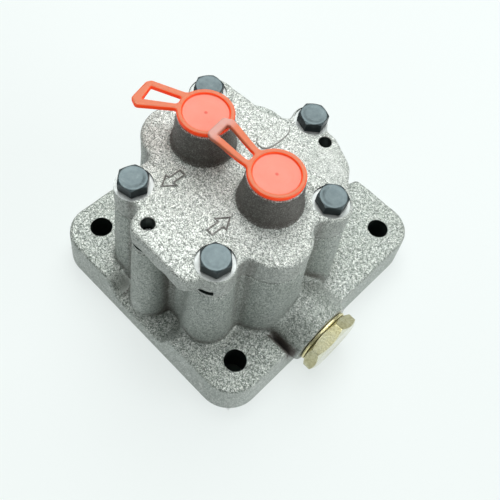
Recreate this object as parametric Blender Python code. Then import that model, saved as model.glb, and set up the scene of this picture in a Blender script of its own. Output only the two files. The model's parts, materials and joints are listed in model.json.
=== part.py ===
"""Flange-mounted gear pump with two vertical ports, a relief valve and red transit caps.

Lengths are in millimetres up to the point where a mesh is made, and metres in the scene.
The pump stands on its flange, +Z up, with the drive shaft upright in the middle of the flange.
"""

import math

import bpy
import bmesh
import numpy as np
from mathutils import Matrix, Vector

MM = 0.001

# Clearances that every fitting pair shares
GAP = 0.3
KEY_GAP = 0.2
THREAD_GAP = 0.35

# Flange
FLANGE_HALF_X = 67.0
FLANGE_HALF_Y = 74.8
FLANGE_DRAFT = 1.3
FLANGE_CORNER_R = 17.5
PAD_Z = 22.0
PAD_EDGE_R = 1.4
WEB_Z = 10.0
HOLE_INSET_X = 16.5
HOLE_INSET_Y = 18.4
HOLE_R = 5.75
PAD_GAP_X = (-18.0, 20.0)
PAD_GAP_Y = (-35.0, 3.5)

# Smoothness of the cast outline
OUTLINE_POINTS = 74

# Heights of the two castings
BODY_TOP_Z = 70.5
COVER_T = 14.8
COVER_EDGE_R = 1.0
CAST_DRAFT = math.radians(1.2)
SPOT_DEPTH = 1.0
SPOT_R = 10.45

# Gears
TEETH = 12
MODULE = 2.2
PRESSURE = math.radians(25.0)
BACKLASH = 0.4
GEAR_W = 30.2

# Shafts and bushes
SHAFT_R = 7.0
BUSH_WALL = 2.4
BUSH_L = 15.4
COVER_BUSH_L = 11.1
KEY_W = 4.0
KEY_L = 20.0
KEY_OUT = 1.6

# Drive end
SPLINE_R = 6.8
SPLINE_ROOT_R = 5.7
SPLINE_L = 6.8
SPLINE_COUNT = 6
COUPLING_R = 15.0
COUPLING_Z = 1.5
COUPLING_L = 13.5
CHAMBER_ROOM = 4.0
CHAMBER_Z = 16.0
SEAL_R = 14.5
SEAL_BORE_TOP_Z = 24.0
SEAL_L = 5.5
RING_GROOVE_R = 15.6
RING_T = 0.8

# Ports
PORT_XS = (-22.5, 20.2)
PORT_R = 8.5
PORT_THREAD_R = 10.5
PORT_THREAD_L = 16.0
PORT_BOSS_R = 14.1
PORT_BOSS_TOP_Z = 104.2
PORT_CHAMBER_Z = 45.0
PORT_CHAMBER_HALF = 7.0

# Transit caps
CAP_R = 12.75
CAP_RECESS_R = 10.3
CAP_RECESS_H = 1.1
CAP_RIM_H = 2.4
CAP_FLOOR_T = 1.6
CAP_STEM_L = 9.0
CAP_STEM_WALL = 1.6
LOOP_W = 3.8
LOOP_T = 2.4
LOOP_TIP_R = 2.4
# Of each loop: direction in degrees, reach, width at the tip and at the root, rise to the tip
CAP_LOOPS = (
    (207.2, 30.3, 13.6, 11.0, 0.0),
    (185.8, 33.9, 14.6, 10.6, 2.7),
)

# Relief valve
RELIEF_Z = 18.6
RELIEF_BOSS_R = 18.0
RELIEF_STANDS_OUT = 3.0
RELIEF_THREAD_R = 10.5
RELIEF_THREAD_L = 16.0
RELIEF_BORE_R = 8.0
RELIEF_SEAT_X = 30.0
RELIEF_SEAT_R = 5.0
RELIEF_FRONT_X = 22.0
PISTON_L = 14.0
PISTON_WALL = 1.9
PLUG_AF = 30.0
PLUG_HEX_T = 6.9
PLUG_SHANK_L = 14.0
PLUG_TURN = math.radians(24.5)
WASHER_R = 15.4
WASHER_T = 1.6
SPRING_R = 4.4
SPRING_WIRE_R = 0.75
SPRING_TURNS = 6.0

# Cover fasteners, placed for a flange of this half size: centre and turn of the head
PLACED_FOR = (67.0, 74.8)
BOLT_PLACES = (
    (-25.7, -52.2, -1.89),
    (26.2, -52.4, -1.77),
    (38.9, 7.6, -2.43),
    (1.7, 35.9, -2.41),
    (-43.0, 9.5, -1.05),
)
# Centre and radius of the lobe of the casting round each bolt
BOLT_LOBES = (
    (-25.7, -52.2, 11.2),
    (26.2, -52.4, 11.3),
    (38.9, 7.6, 10.4),
    (-0.1, 35.5, 9.7),
    (-43.0, 9.5, 11.0),
)
BOLT_AF = 13.0
BOLT_HEAD_H = 5.3
BOLT_R = 4.0
BOLT_UNDER_HEAD = 35.0
DOWEL_PLACES = ((-6.2, -61.0), (14.6, 30.9))
DOWEL_LOBE = (-6.2, -61.0, 8.3)
DOWEL_HOLE_R = 3.18
DOWEL_L = 18.0
DOWEL_SUNK = 8.0

# Cover seal
SEAL_RING_PLACED = (34.5, 33.0)
SEAL_WIRE_R = 1.1

# Bare raised pad on the cover
PLATE_AT = (-3.6, 14.3)
PLATE_HALF = (4.3, 9.4)
PLATE_H = 0.5

# Values that follow from the ones above
GROW_X = FLANGE_HALF_X / PLACED_FOR[0]
GROW_Y = FLANGE_HALF_Y / PLACED_FOR[1]
BOLTS = [(x * GROW_X, y * GROW_Y, turn) for x, y, turn in BOLT_PLACES]
DOWELS = [(x * GROW_X, y * GROW_Y) for x, y in DOWEL_PLACES]
SEAL_RING_HALF = (SEAL_RING_PLACED[0] * GROW_X, SEAL_RING_PLACED[1] * GROW_Y)
HOLE_X = FLANGE_HALF_X - HOLE_INSET_X
HOLE_Y = FLANGE_HALF_Y - HOLE_INSET_Y
CHAMBER_R = COUPLING_R + CHAMBER_ROOM
RELIEF_END_X = FLANGE_HALF_X + RELIEF_STANDS_OUT
RELIEF_THREAD_X = RELIEF_END_X - RELIEF_THREAD_L
PITCH_R = MODULE * TEETH / 2
GEAR_R = PITCH_R + MODULE
CENTRES = 2 * PITCH_R
DRIVE = (0.0, 0.0)
IDLER = (0.0, -CENTRES)
PORT_Y = -CENTRES / 2
CAVITY_R = GEAR_R + GAP
GEAR_TOP_Z = BODY_TOP_Z
CAVITY_Z = GEAR_TOP_Z - GEAR_W - GAP
COVER_Z = BODY_TOP_Z + GAP
COVER_TOP_Z = COVER_Z + COVER_T
SEAT_Z = COVER_TOP_Z - SPOT_DEPTH
BUSH_IN_R = SHAFT_R + GAP
BUSH_OUT_R = BUSH_IN_R + BUSH_WALL
BUSH_BORE_R = BUSH_OUT_R + GAP
BODY_BUSH_Z = CAVITY_Z - GAP - BUSH_L
COVER_BUSH_Z = COVER_Z + GAP
SHAFT_TOP_Z = COVER_BUSH_Z + COVER_BUSH_L - GAP
COUPLING_TOP_Z = COUPLING_Z + COUPLING_L
SHAFT_FOOT_Z = COUPLING_TOP_Z - SPLINE_L + GAP
RELIEF_END_GAP_X = RELIEF_END_X + GAP
HEX_X = RELIEF_END_GAP_X + WASHER_T + GAP
PLUG_END_X = HEX_X + PLUG_HEX_T
CAP_Z = PORT_BOSS_TOP_Z + GAP
CAP_TOP_Z = CAP_Z + CAP_RIM_H
MID_Y = PORT_Y - 1.0
SHIFT = Vector((-(PLUG_END_X - FLANGE_HALF_X) / 2, 0.0, 0.0))


# Materials

def make_material(name, colour, roughness, metallic):
    material = bpy.data.materials.new(name)
    material.use_nodes = True
    shader = material.node_tree.nodes["Principled BSDF"]
    shader.inputs["Base Color"].default_value = (*colour, 1.0)
    shader.inputs["Roughness"].default_value = roughness
    shader.inputs["Metallic"].default_value = metallic
    material.diffuse_color = (*colour, 1.0)
    return material


# Mesh helpers

def new_object(name, points, faces, material=None):
    mesh = bpy.data.meshes.new(name)
    mesh.from_pydata([Vector(p) * MM for p in points], [], faces)
    shape = bmesh.new()
    shape.from_mesh(mesh)
    bmesh.ops.recalc_face_normals(shape, faces=shape.faces)
    shape.to_mesh(mesh)
    shape.free()
    obj = bpy.data.objects.new(name, mesh)
    bpy.context.scene.collection.objects.link(obj)
    if material:
        mesh.materials.append(material)
    return obj


def loft(name, sections, material=None):
    """A closed solid through rings of equal length, capped at both ends."""
    count = len(sections[0])
    points = [tuple(p) for ring in sections for p in ring]
    faces = [list(range(count))[::-1]]
    for level in range(len(sections) - 1):
        low = level * count
        high = low + count
        for i in range(count):
            j = (i + 1) % count
            faces.append([low + i, low + j, high + j, high + i])
    last = (len(sections) - 1) * count
    faces.append([last + i for i in range(count)])
    return new_object(name, points, faces, material)


def prism(name, outline, low, high, material=None):
    return loft(
        name,
        [[(x, y, low) for x, y in outline], [(x, y, high) for x, y in outline]],
        material,
    )


def revolve(name, profile, segments, material=None, centre=(0.0, 0.0)):
    """A (radius, height) profile turned about a vertical axis. Points at radius 0 make a pole."""
    points = []
    rings = []
    for radius, height in profile:
        if radius < 1e-9:
            rings.append([len(points)] * segments)
            points.append((centre[0], centre[1], height))
            continue
        start = len(points)
        for i in range(segments):
            turn = 2 * math.pi * i / segments
            points.append(
                (
                    centre[0] + radius * math.cos(turn),
                    centre[1] + radius * math.sin(turn),
                    height,
                )
            )
        rings.append(list(range(start, start + segments)))
    faces = []
    on_axis = profile[0][0] < 1e-9 and profile[-1][0] < 1e-9
    pairs = len(profile) - 1 if on_axis else len(profile)
    for k in range(pairs):
        a = rings[k]
        b = rings[(k + 1) % len(rings)]
        for i in range(segments):
            j = (i + 1) % segments
            corner = []
            for index in (a[i], a[j], b[j], b[i]):
                if index not in corner:
                    corner.append(index)
            if len(corner) > 2:
                faces.append(corner)
    return new_object(name, points, faces, material)


def cylinder(name, radius, low, high, centre=(0.0, 0.0), segments=48, material=None):
    return revolve(
        name, [(0, low), (radius, low), (radius, high), (0, high)], segments, material, centre
    )


def turned(obj, matrix):
    """Bakes a placement given in millimetres into the mesh."""
    move = matrix.copy()
    move.translation = matrix.translation * MM
    obj.data.transform(move)
    return obj


def along_x(obj, y, z):
    """Lays an upright solid along +X at the given height."""
    lay = Matrix.Translation((0, y, z)) @ Matrix.Rotation(math.radians(90), 4, "Y")
    return turned(obj, lay)


def clean(obj):
    shape = bmesh.new()
    shape.from_mesh(obj.data)
    bmesh.ops.remove_doubles(shape, verts=shape.verts, dist=3e-6)
    bmesh.ops.dissolve_degenerate(shape, edges=shape.edges, dist=2e-6)
    shape.to_mesh(obj.data)
    shape.free()


def combine(obj, others, operation):
    """Adds or cuts each of the other solids, then removes them."""
    for other in others:
        other.hide_render = True
        other.display_type = "WIRE"
        step = obj.modifiers.new("step", "BOOLEAN")
        step.operation = operation
        step.solver = "EXACT"
        step.object = other
        bpy.context.view_layer.update()
        graph = bpy.context.evaluated_depsgraph_get()
        made = bpy.data.meshes.new_from_object(obj.evaluated_get(graph))
        obj.modifiers.clear()
        old = obj.data
        keep = [m for m in old.materials if m]
        obj.data = made
        made.materials.clear()
        for material in keep[:1]:
            made.materials.append(material)
        made.polygons.foreach_set("material_index", [0] * len(made.polygons))
        bpy.data.meshes.remove(old)
        bpy.data.objects.remove(other)
        clean(obj)
    return obj


def cut(obj, *others):
    return combine(obj, others, "DIFFERENCE")


def join(obj, *others):
    return combine(obj, others, "UNION")


def finish(obj, name, angle=32.0, origin=(0.0, 0.0, 0.0)):
    """Names a piece, rounds its shading and sets its origin on its joint axis."""
    obj.name = name
    obj.data.name = name
    at = Vector(origin) * MM
    obj.data.transform(Matrix.Translation(-at))
    obj.location = at + SHIFT * MM
    obj.data.shade_smooth()
    obj.data.set_sharp_from_angle(angle=math.radians(angle))
    return obj


# Outline helpers

def rounded(corners, steps=4):
    """A closed outline from (x, y, radius) corners, each rounded by its own radius."""
    out = []
    count = len(corners)
    for i in range(count):
        x, y, radius = corners[i]
        here = Vector((x, y))
        back = Vector(corners[i - 1][:2]) - here
        ahead = Vector(corners[(i + 1) % count][:2]) - here
        if radius <= 0:
            out.append((x, y))
            continue
        half = back.angle(ahead) / 2
        reach = radius / math.tan(half)
        start = here + back.normalized() * reach
        end = here + ahead.normalized() * reach
        middle = here + (back.normalized() + ahead.normalized()).normalized() * (
            radius / math.sin(half)
        )
        a = start - middle
        b = end - middle
        sweep = a.angle_signed(b)
        for k in range(steps + 1):
            turn = -sweep * k / steps
            out.append(
                (
                    middle.x + a.x * math.cos(turn) - a.y * math.sin(turn),
                    middle.y + a.x * math.sin(turn) + a.y * math.cos(turn),
                )
            )
    return out


def rounded_box(x0, x1, y0, y1, radius, steps=6):
    return rounded([(x0, y0, radius), (x1, y0, radius), (x1, y1, radius), (x0, y1, radius)], steps)


def soft_min(a, b, width):
    reach = np.maximum(width - np.abs(a - b), 0) / width
    return np.minimum(a, b) - reach * reach * width / 4


def capsule(x, y, ax, ay, ar, bx, by, br):
    """Distance to a tapered bar with round ends."""
    dx = bx - ax
    dy = by - ay
    t = np.clip(((x - ax) * dx + (y - ay) * dy) / (dx * dx + dy * dy + 1e-12), 0, 1)
    return np.hypot(x - ax - t * dx, y - ay - t * dy) - (ar + (br - ar) * t)


def body_outline(x, y):
    """Signed distance to the outline of the body wall, whose lobes carry the bolts and dowels."""
    x = x / GROW_X
    y = y / GROW_Y
    near = capsule(x, y, -33.0, MID_Y - 4.0, 18.2, 34.5, MID_Y - 8.4, 16.1)
    near = soft_min(near, capsule(x, y, -26.0, 2.5, 18.6, 26.0, 3.5, 18.0), 6.0)
    near = soft_min(near, capsule(x, y, -20.0, -42.0, 11.5, 20.0, -43.0, 13.0), 6.0)
    near = soft_min(near, capsule(x, y, -6.0, 10.0, 17.0, 8.0, 20.0, 14.5), 6.0)
    near = soft_min(near, capsule(x, y, 14.6, 24.2, 12.6, 23.2, 20.2, 11.2), 5.0)
    near = soft_min(near, capsule(x, y, 23.2, 20.2, 11.2, 36.5, 8.0, 9.5), 5.0)
    near = soft_min(near, capsule(x, y, -41.0, 9.7, 11.3, -25.0, 9.7, 11.4), 4.0)
    for cx, cy, radius in BOLT_LOBES:
        near = soft_min(near, np.hypot(x - cx, y - cy) - radius, 4.0)
    cx, cy, radius = DOWEL_LOBE
    return soft_min(near, np.hypot(x - cx, y - cy) - radius, 4.5)


def cover_outline(x, y):
    """The cover follows the body, but runs straight past the hollow between two of its lobes."""
    lip = capsule(x / GROW_X, y / GROW_Y, -5.4, -61.3, 7.1, 20.0, -61.5, 7.0)
    return soft_min(body_outline(x, y), lip, 1.5)


def wall_radii(outline, turns, offset):
    """How far the outline, grown by offset, lies from (0, MID_Y) along each direction."""
    radii = np.full(len(turns), 90.0 * max(GROW_X, GROW_Y))
    for _ in range(240):
        off = outline(radii * np.cos(turns), MID_Y + radii * np.sin(turns)) - offset
        radii = radii - np.where(off > 0.002, off * 0.45, 0)
    return radii


def wall_turns(outline):
    """Directions spread so that tight bends get more points than straight stretches."""
    fine = np.arange(1440) * 2 * math.pi / 1440
    radii = wall_radii(outline, fine, 0.0)
    flat = np.stack([radii * np.cos(fine), radii * np.sin(fine)], axis=1)
    step = np.roll(flat, -1, axis=0) - flat
    heading = np.arctan2(step[:, 1], step[:, 0])
    bend = np.abs(np.angle(np.exp(1j * (np.roll(heading, -1) - heading))))
    weight = np.cumsum(np.hypot(step[:, 0], step[:, 1]) / 9.0 + bend / math.radians(16))
    wanted = np.arange(OUTLINE_POINTS) * weight[-1] / OUTLINE_POINTS
    return np.interp(wanted, np.concatenate([[0], weight]), np.append(fine, 2 * math.pi))


def ring_at(outline, turns, offset, z):
    """One level of a casting's side, grown or shrunk from its outline."""
    radii = wall_radii(outline, turns, offset)
    return [(r * math.cos(t), MID_Y + r * math.sin(t), z) for r, t in zip(radii.tolist(), turns.tolist())]


def over_pad(points):
    """1 where a wall point stands above a thick corner pad and 0 above the thin flange."""
    x = points[:, 0]
    y = points[:, 1]
    side_x = np.minimum(np.abs(x - PAD_GAP_X[0]), np.abs(x - PAD_GAP_X[1]))
    in_x = (x > PAD_GAP_X[0]) & (x < PAD_GAP_X[1])
    side_y = np.minimum(np.abs(y - PAD_GAP_Y[0]), np.abs(y - PAD_GAP_Y[1]))
    in_y = (y > PAD_GAP_Y[0]) & (y < PAD_GAP_Y[1])
    off = np.maximum(np.where(in_x, side_x, 0), np.where(in_y, side_y, 0))
    return 1 - np.clip(off / 4.0, 0, 1)


def seal_path(count):
    """The closed track of the cover seal."""
    out = []
    for i in range(count):
        turn = 2 * math.pi * i / count
        c = math.cos(turn)
        s = math.sin(turn)
        out.append(
            (
                -1.0 + SEAL_RING_HALF[0] * math.copysign(abs(c) ** 0.9, c),
                PORT_Y + SEAL_RING_HALF[1] * math.copysign(abs(s) ** 0.9, s),
            )
        )
    return out


def sweep_ring(name, path, section, material=None):
    """Carries a (sideways, up) section round a closed flat path of (x, y, z) points."""
    count = len(path)
    points = []
    for i in range(count):
        ahead = Vector(path[(i + 1) % count]) - Vector(path[i - 1])
        side = Vector((ahead.y, -ahead.x, 0)).normalized()
        for s, u in section:
            points.append(tuple(Vector(path[i]) + side * s + Vector((0, 0, u))))
    wide = len(section)
    faces = []
    for i in range(count):
        j = (i + 1) % count
        for k in range(wide):
            m = (k + 1) % wide
            faces.append([i * wide + k, j * wide + k, j * wide + m, i * wide + m])
    return new_object(name, points, faces, material)


def sweep_open(name, path, section, material=None):
    """Carries a (sideways, up) section along an open path, with flat ends."""
    rings = []
    for i, at in enumerate(path):
        here = Vector(at)
        ahead = Vector(path[min(i + 1, len(path) - 1)]) - here
        behind = here - Vector(path[max(i - 1, 0)])
        if ahead.length > 0:
            ahead.normalize()
        if behind.length > 0:
            behind.normalize()
        mean = ahead + behind
        flat = Vector((mean.x, mean.y, 0)).normalized()
        side = Vector((flat.y, -flat.x, 0))
        both = ahead.length > 0 and behind.length > 0
        spread = 1.0
        if both:
            spread = 1.0 / max(math.cos(ahead.angle(behind) / 2), 0.5)
        rings.append([tuple(here + side * s * spread + Vector((0, 0, u))) for s, u in section])
    return loft(name, rings, material)


def eased_path(corners, steps=5):
    """An open 3-D path whose inner corners (x, y, z, radius) are rounded."""
    out = [corners[0][:3]]
    for i in range(1, len(corners) - 1):
        here = Vector(corners[i][:3])
        back = Vector(corners[i - 1][:3]) - here
        ahead = Vector(corners[i + 1][:3]) - here
        half = back.angle(ahead) / 2
        reach = corners[i][3] / math.tan(half)
        start = here + back.normalized() * reach
        end = here + ahead.normalized() * reach
        for k in range(steps + 1):
            t = k / steps
            bend = start * (1 - t) ** 2 + here * 2 * t * (1 - t) + end * t * t
            out.append(tuple(bend))
    out.append(corners[-1][:3])
    return out


def round_section(radius, sides, turn=0.0):
    return [
        (
            radius * math.cos(turn + 2 * math.pi * k / sides),
            radius * math.sin(turn + 2 * math.pi * k / sides),
        )
        for k in range(sides)
    ]


def bar_section(width, height, edge):
    w = width / 2
    h = height / 2
    return [
        (w, -h + edge),
        (w, h - edge),
        (w - edge, h),
        (-w + edge, h),
        (-w, h - edge),
        (-w, -h + edge),
        (-w + edge, -h),
        (w - edge, -h),
    ]


# Gear and spline outlines

def involute(angle):
    return math.tan(angle) - angle


def gear_outline():
    """Involute spur teeth, one of them centred on +Y."""
    base_r = PITCH_R * math.cos(PRESSURE)
    root_r = PITCH_R - 1.25 * MODULE
    half_pitch = math.pi / (2 * TEETH) - BACKLASH / (4 * PITCH_R)
    flank = []
    start_r = max(base_r, root_r)
    for k in range(4):
        radius = start_r + (GEAR_R - start_r) * k / 3
        lean = involute(math.acos(min(1.0, base_r / radius)))
        flank.append((radius, half_pitch + involute(PRESSURE) - lean))
    foot = flank[0][1] + 0.035
    out = []
    for tooth in range(TEETH):
        middle = math.pi / 2 + 2 * math.pi * tooth / TEETH
        polar = [(root_r, -foot)]
        polar += [(r, -a) for r, a in flank]
        polar += [(GEAR_R, 0.0)]
        polar += [(r, a) for r, a in reversed(flank)]
        polar += [(root_r, foot)]
        for radius, turn in polar:
            out.append((radius * math.cos(middle + turn), radius * math.sin(middle + turn)))
    return out


def spline_outline(top_r, foot_r, widen):
    """Straight-sided splines. Widen is extra half width on each side of a tooth."""
    out = []
    for k in range(SPLINE_COUNT):
        middle = 2 * math.pi * k / SPLINE_COUNT
        half = math.radians(15) + widen / foot_r
        for radius, turn in (
            (foot_r, -half - 0.02),
            (top_r, -half),
            (top_r, -half / 3),
            (top_r, half / 3),
            (top_r, half),
            (foot_r, half + 0.02),
            (foot_r, math.pi / SPLINE_COUNT - 0.06),
            (foot_r, math.pi / SPLINE_COUNT + 0.06),
        ):
            out.append((radius * math.cos(middle + turn), radius * math.sin(middle + turn)))
    return out


# The pump body

def flange_block():
    """The drafted flange with its thick corner pads and thin middle stretches."""
    sections = []
    levels = [(0.0, 0.9), (0.7, 0.0), (PAD_Z - PAD_EDGE_R, FLANGE_DRAFT)]
    for k in range(1, 3):
        turn = math.pi / 2 * k / 2
        sink = PAD_EDGE_R * (1 - math.cos(turn))
        levels.append((PAD_Z - PAD_EDGE_R + PAD_EDGE_R * math.sin(turn), FLANGE_DRAFT + sink))
    for z, inset in levels:
        ring = rounded_box(
            -FLANGE_HALF_X + inset,
            FLANGE_HALF_X - inset,
            -FLANGE_HALF_Y + inset,
            FLANGE_HALF_Y - inset,
            FLANGE_CORNER_R - inset * 0.6,
        )
        sections.append([(x, y, z) for x, y in ring])
    block = loft("flange_block", sections)
    cutters = []
    low, high = PAD_GAP_X
    for side in (-1, 1):
        near = 30.0 if side < 0 else 24.0
        profile = gap_profile(low, high)
        outline = [(x, side * near, z) for x, z in profile]
        far = [(x, side * (FLANGE_HALF_Y + 6), z) for x, z in profile]
        cutters.append(loft("gap", [outline, far]))
    low, high = PAD_GAP_Y
    for side in (-1, 1):
        profile = gap_profile(low, high)
        outline = [(side * 30.0, y, z) for y, z in profile]
        far = [(side * (FLANGE_HALF_X + 6), y, z) for y, z in profile]
        cutters.append(loft("gap", [outline, far]))
    return cut(block, *cutters)


def gap_profile(low, high):
    """The stretch between two pads: rounded shoulders, sloped sides and a rounded floor."""
    over = PAD_Z + 1.5
    flare = 2.2
    return rounded(
        [
            (low - flare - 0.6, over, 0),
            (low - flare - 0.6, PAD_Z + 0.03, 0),
            (low, PAD_Z + 0.03, flare),
            (low + 1.4, WEB_Z, 3.5),
            (high - 1.4, WEB_Z, 3.5),
            (high, PAD_Z + 0.03, flare),
            (high + flare + 0.6, PAD_Z + 0.03, 0),
            (high + flare + 0.6, over, 0),
        ],
        3,
    )


def wall_block():
    """The drafted body wall, which flares where it meets the pads and the flange."""
    turns = wall_turns(body_outline)
    pad = over_pad(np.array(ring_at(body_outline, turns, 0.0, 0.0)))
    fillet = 3.0
    levels = []
    foot = 2.6
    for z, thin in ((WEB_Z - 3.0, foot), (WEB_Z, foot), (WEB_Z + 0.8, foot * 0.5),
                    (WEB_Z + fillet, 0.0), (PAD_Z + 0.9, 0.0),
                    (PAD_Z + fillet, 0.0), (BODY_TOP_Z - 0.6, 0.0), (BODY_TOP_Z, 0.0)):
        thick = foot
        if z > PAD_Z:
            thick = foot * 0.45
        if z >= PAD_Z + fillet:
            thick = 0.0
        draft = (BODY_TOP_Z - z) * math.tan(CAST_DRAFT)
        edge = -0.5 if z == BODY_TOP_Z else 0.0
        grow = draft + edge + thick * pad + thin * (1 - pad)
        levels.append(ring_at(body_outline, turns, grow, z))
    return loft("wall_block", levels)


def relief_boss():
    profile = [
        (0, RELIEF_FRONT_X - 8),
        (RELIEF_BOSS_R + 0.6, RELIEF_FRONT_X - 8),
        (RELIEF_BOSS_R, RELIEF_END_X - 1.2),
        (RELIEF_BOSS_R - 0.35, RELIEF_END_X - 0.35),
        (RELIEF_BOSS_R - 1.2, RELIEF_END_X),
        (0, RELIEF_END_X),
    ]
    return along_x(revolve("relief_boss", profile, 44), PORT_Y, RELIEF_Z)


def chamber_cutter(side, low, high):
    """The passage from a port bore to the gear mesh."""
    port = PORT_XS[0] if side < 0 else PORT_XS[1]
    outline = []
    for k in range(13):
        turn = math.pi / 2 * side * -1 + math.pi * k / 12 * -side
        outline.append(
            (
                port + side * abs(PORT_CHAMBER_HALF * math.sin(math.pi * k / 12)),
                PORT_Y + PORT_CHAMBER_HALF * math.cos(math.pi * k / 12) * side,
            )
        )
    outline.append((side * 5.0, PORT_Y - PORT_CHAMBER_HALF * side))
    outline.append((side * 5.0, PORT_Y + PORT_CHAMBER_HALF * side))
    return prism("chamber", outline, low, high)


def relief_bores():
    stem = RELIEF_THREAD_X
    profile = [
        (0, RELIEF_FRONT_X),
        (RELIEF_SEAT_R, RELIEF_FRONT_X),
        (RELIEF_SEAT_R, RELIEF_SEAT_X),
        (RELIEF_BORE_R, RELIEF_SEAT_X),
        (RELIEF_BORE_R, stem),
        (RELIEF_THREAD_R, stem + 0.01),
        (RELIEF_THREAD_R, RELIEF_END_X - 1.0),
        (RELIEF_THREAD_R + 1.4, RELIEF_END_X + 0.6),
        (0, RELIEF_END_X + 0.6),
    ]
    return along_x(revolve("relief_bores", profile, 24), PORT_Y, RELIEF_Z)


def make_body(material):
    body = flange_block()
    body.data.materials.append(material)
    join(body, wall_block(), relief_boss())
    cuts = []
    for cx, cy in (DRIVE, IDLER):
        cuts.append(cylinder("cavity", CAVITY_R, CAVITY_Z, BODY_TOP_Z + 2, (cx, cy), 36))
    cuts.append(cylinder("bush_bore", BUSH_BORE_R, SEAL_BORE_TOP_Z - 1, CAVITY_Z + 2, DRIVE, 24))
    cuts.append(cylinder("bush_bore", BUSH_BORE_R, BODY_BUSH_Z - 1.4, CAVITY_Z + 2, IDLER, 24))
    cuts.append(cylinder("seal_bore", SEAL_R, CHAMBER_Z - 1, SEAL_BORE_TOP_Z, DRIVE, 24))
    cuts.append(cylinder("coupling_room", CHAMBER_R, -2, CHAMBER_Z, DRIVE, 32))
    ring_low = CHAMBER_Z + 0.6
    cuts.append(cylinder("ring_groove", RING_GROOVE_R, ring_low, ring_low + RING_T + GAP, DRIVE, 24))
    for side in (-1, 1):
        cuts.append(chamber_cutter(side, PORT_CHAMBER_Z, BODY_TOP_Z + 2))
    cuts.append(relief_bores())
    cuts.append(
        cylinder("pressure_way", 2.8, RELIEF_Z, PORT_CHAMBER_Z + 1, (RELIEF_FRONT_X + 2.9, PORT_Y), 12)
    )
    drain_x = RELIEF_SEAT_X + 4.0
    cuts.append(cylinder("drain_way", 2.5, -2, RELIEF_Z, (drain_x, PORT_Y), 12))
    for sx in (-1, 1):
        for sy in (-1, 1):
            cuts.append(cylinder("hole", HOLE_R, -2, BODY_TOP_Z + 2, (sx * HOLE_X, sy * HOLE_Y), 20))
    depth = SEAT_Z + GAP - BOLT_UNDER_HEAD - 1.5
    for cx, cy, _ in BOLTS:
        cuts.append(cylinder("tapped", BOLT_R + THREAD_GAP, depth, BODY_TOP_Z + 2, (cx, cy), 10))
    for cx, cy in DOWELS:
        low = COVER_TOP_Z - DOWEL_SUNK - DOWEL_L - 1.0
        cuts.append(cylinder("dowel", DOWEL_HOLE_R, low, BODY_TOP_Z + 2, (cx, cy), 12))
    for cx, cy, turn in ((-6.9, -69.5, 0.14), (28.2, -63.4, 0.18)):
        slot = prism("pry_slot", rounded_box(-4.6, 4.6, -2.0, 3.4, 0.8, 2), BODY_TOP_Z - 2.2, BODY_TOP_Z + 2)
        place = Matrix.Translation((cx * GROW_X, cy * GROW_Y, 0))
        cuts.append(turned(slot, place @ Matrix.Rotation(turn, 4, "Z")))
    cut(body, *cuts)
    return finish(body, "pump_body", 30)


# The cover

def port_boss(cx):
    flare = 2.0
    low = COVER_TOP_Z
    top = PORT_BOSS_TOP_Z
    base_r = PORT_BOSS_R + 0.9
    profile = [(0, low - 5), (base_r + flare + 0.4, low - 5), (base_r + flare + 0.1, low - 0.1)]
    for k in range(1, 4):
        turn = math.pi / 2 * k / 3
        profile.append((base_r + flare * (1 - math.sin(turn)), low + flare * (1 - math.cos(turn))))
    profile += [(PORT_BOSS_R, top - 0.8), (PORT_BOSS_R - 0.8, top), (0, top)]
    return revolve("port_boss", profile, 30, None, (cx, PORT_Y))


def seal_groove():
    path = [(x, y, COVER_Z) for x, y in seal_path(30)]
    reach = SEAL_WIRE_R + GAP
    roof = 2 * SEAL_WIRE_R + GAP
    section = [(reach, -1.0), (reach, roof), (-reach, roof), (-reach, -1.0)]
    return sweep_ring("seal_groove", path, section)


def name_pad():
    """A low oval pad, left bare."""
    half_x, half_y = PLATE_HALF
    rings = []
    for z, inset in ((COVER_TOP_Z - 1.0, 0.0), (COVER_TOP_Z + PLATE_H * 0.5, 0.0), (COVER_TOP_Z + PLATE_H, 0.5)):
        ring = []
        for k in range(20):
            turn = 2 * math.pi * k / 20
            c = math.cos(turn)
            s = math.sin(turn)
            x = PLATE_AT[0] + (half_x - inset) * math.copysign(abs(c) ** 0.7, c)
            y = PLATE_AT[1] + (half_y - inset) * math.copysign(abs(s) ** 0.7, s)
            ring.append((x, y, z))
        rings.append(ring)
    return loft("name_pad", rings)


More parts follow.
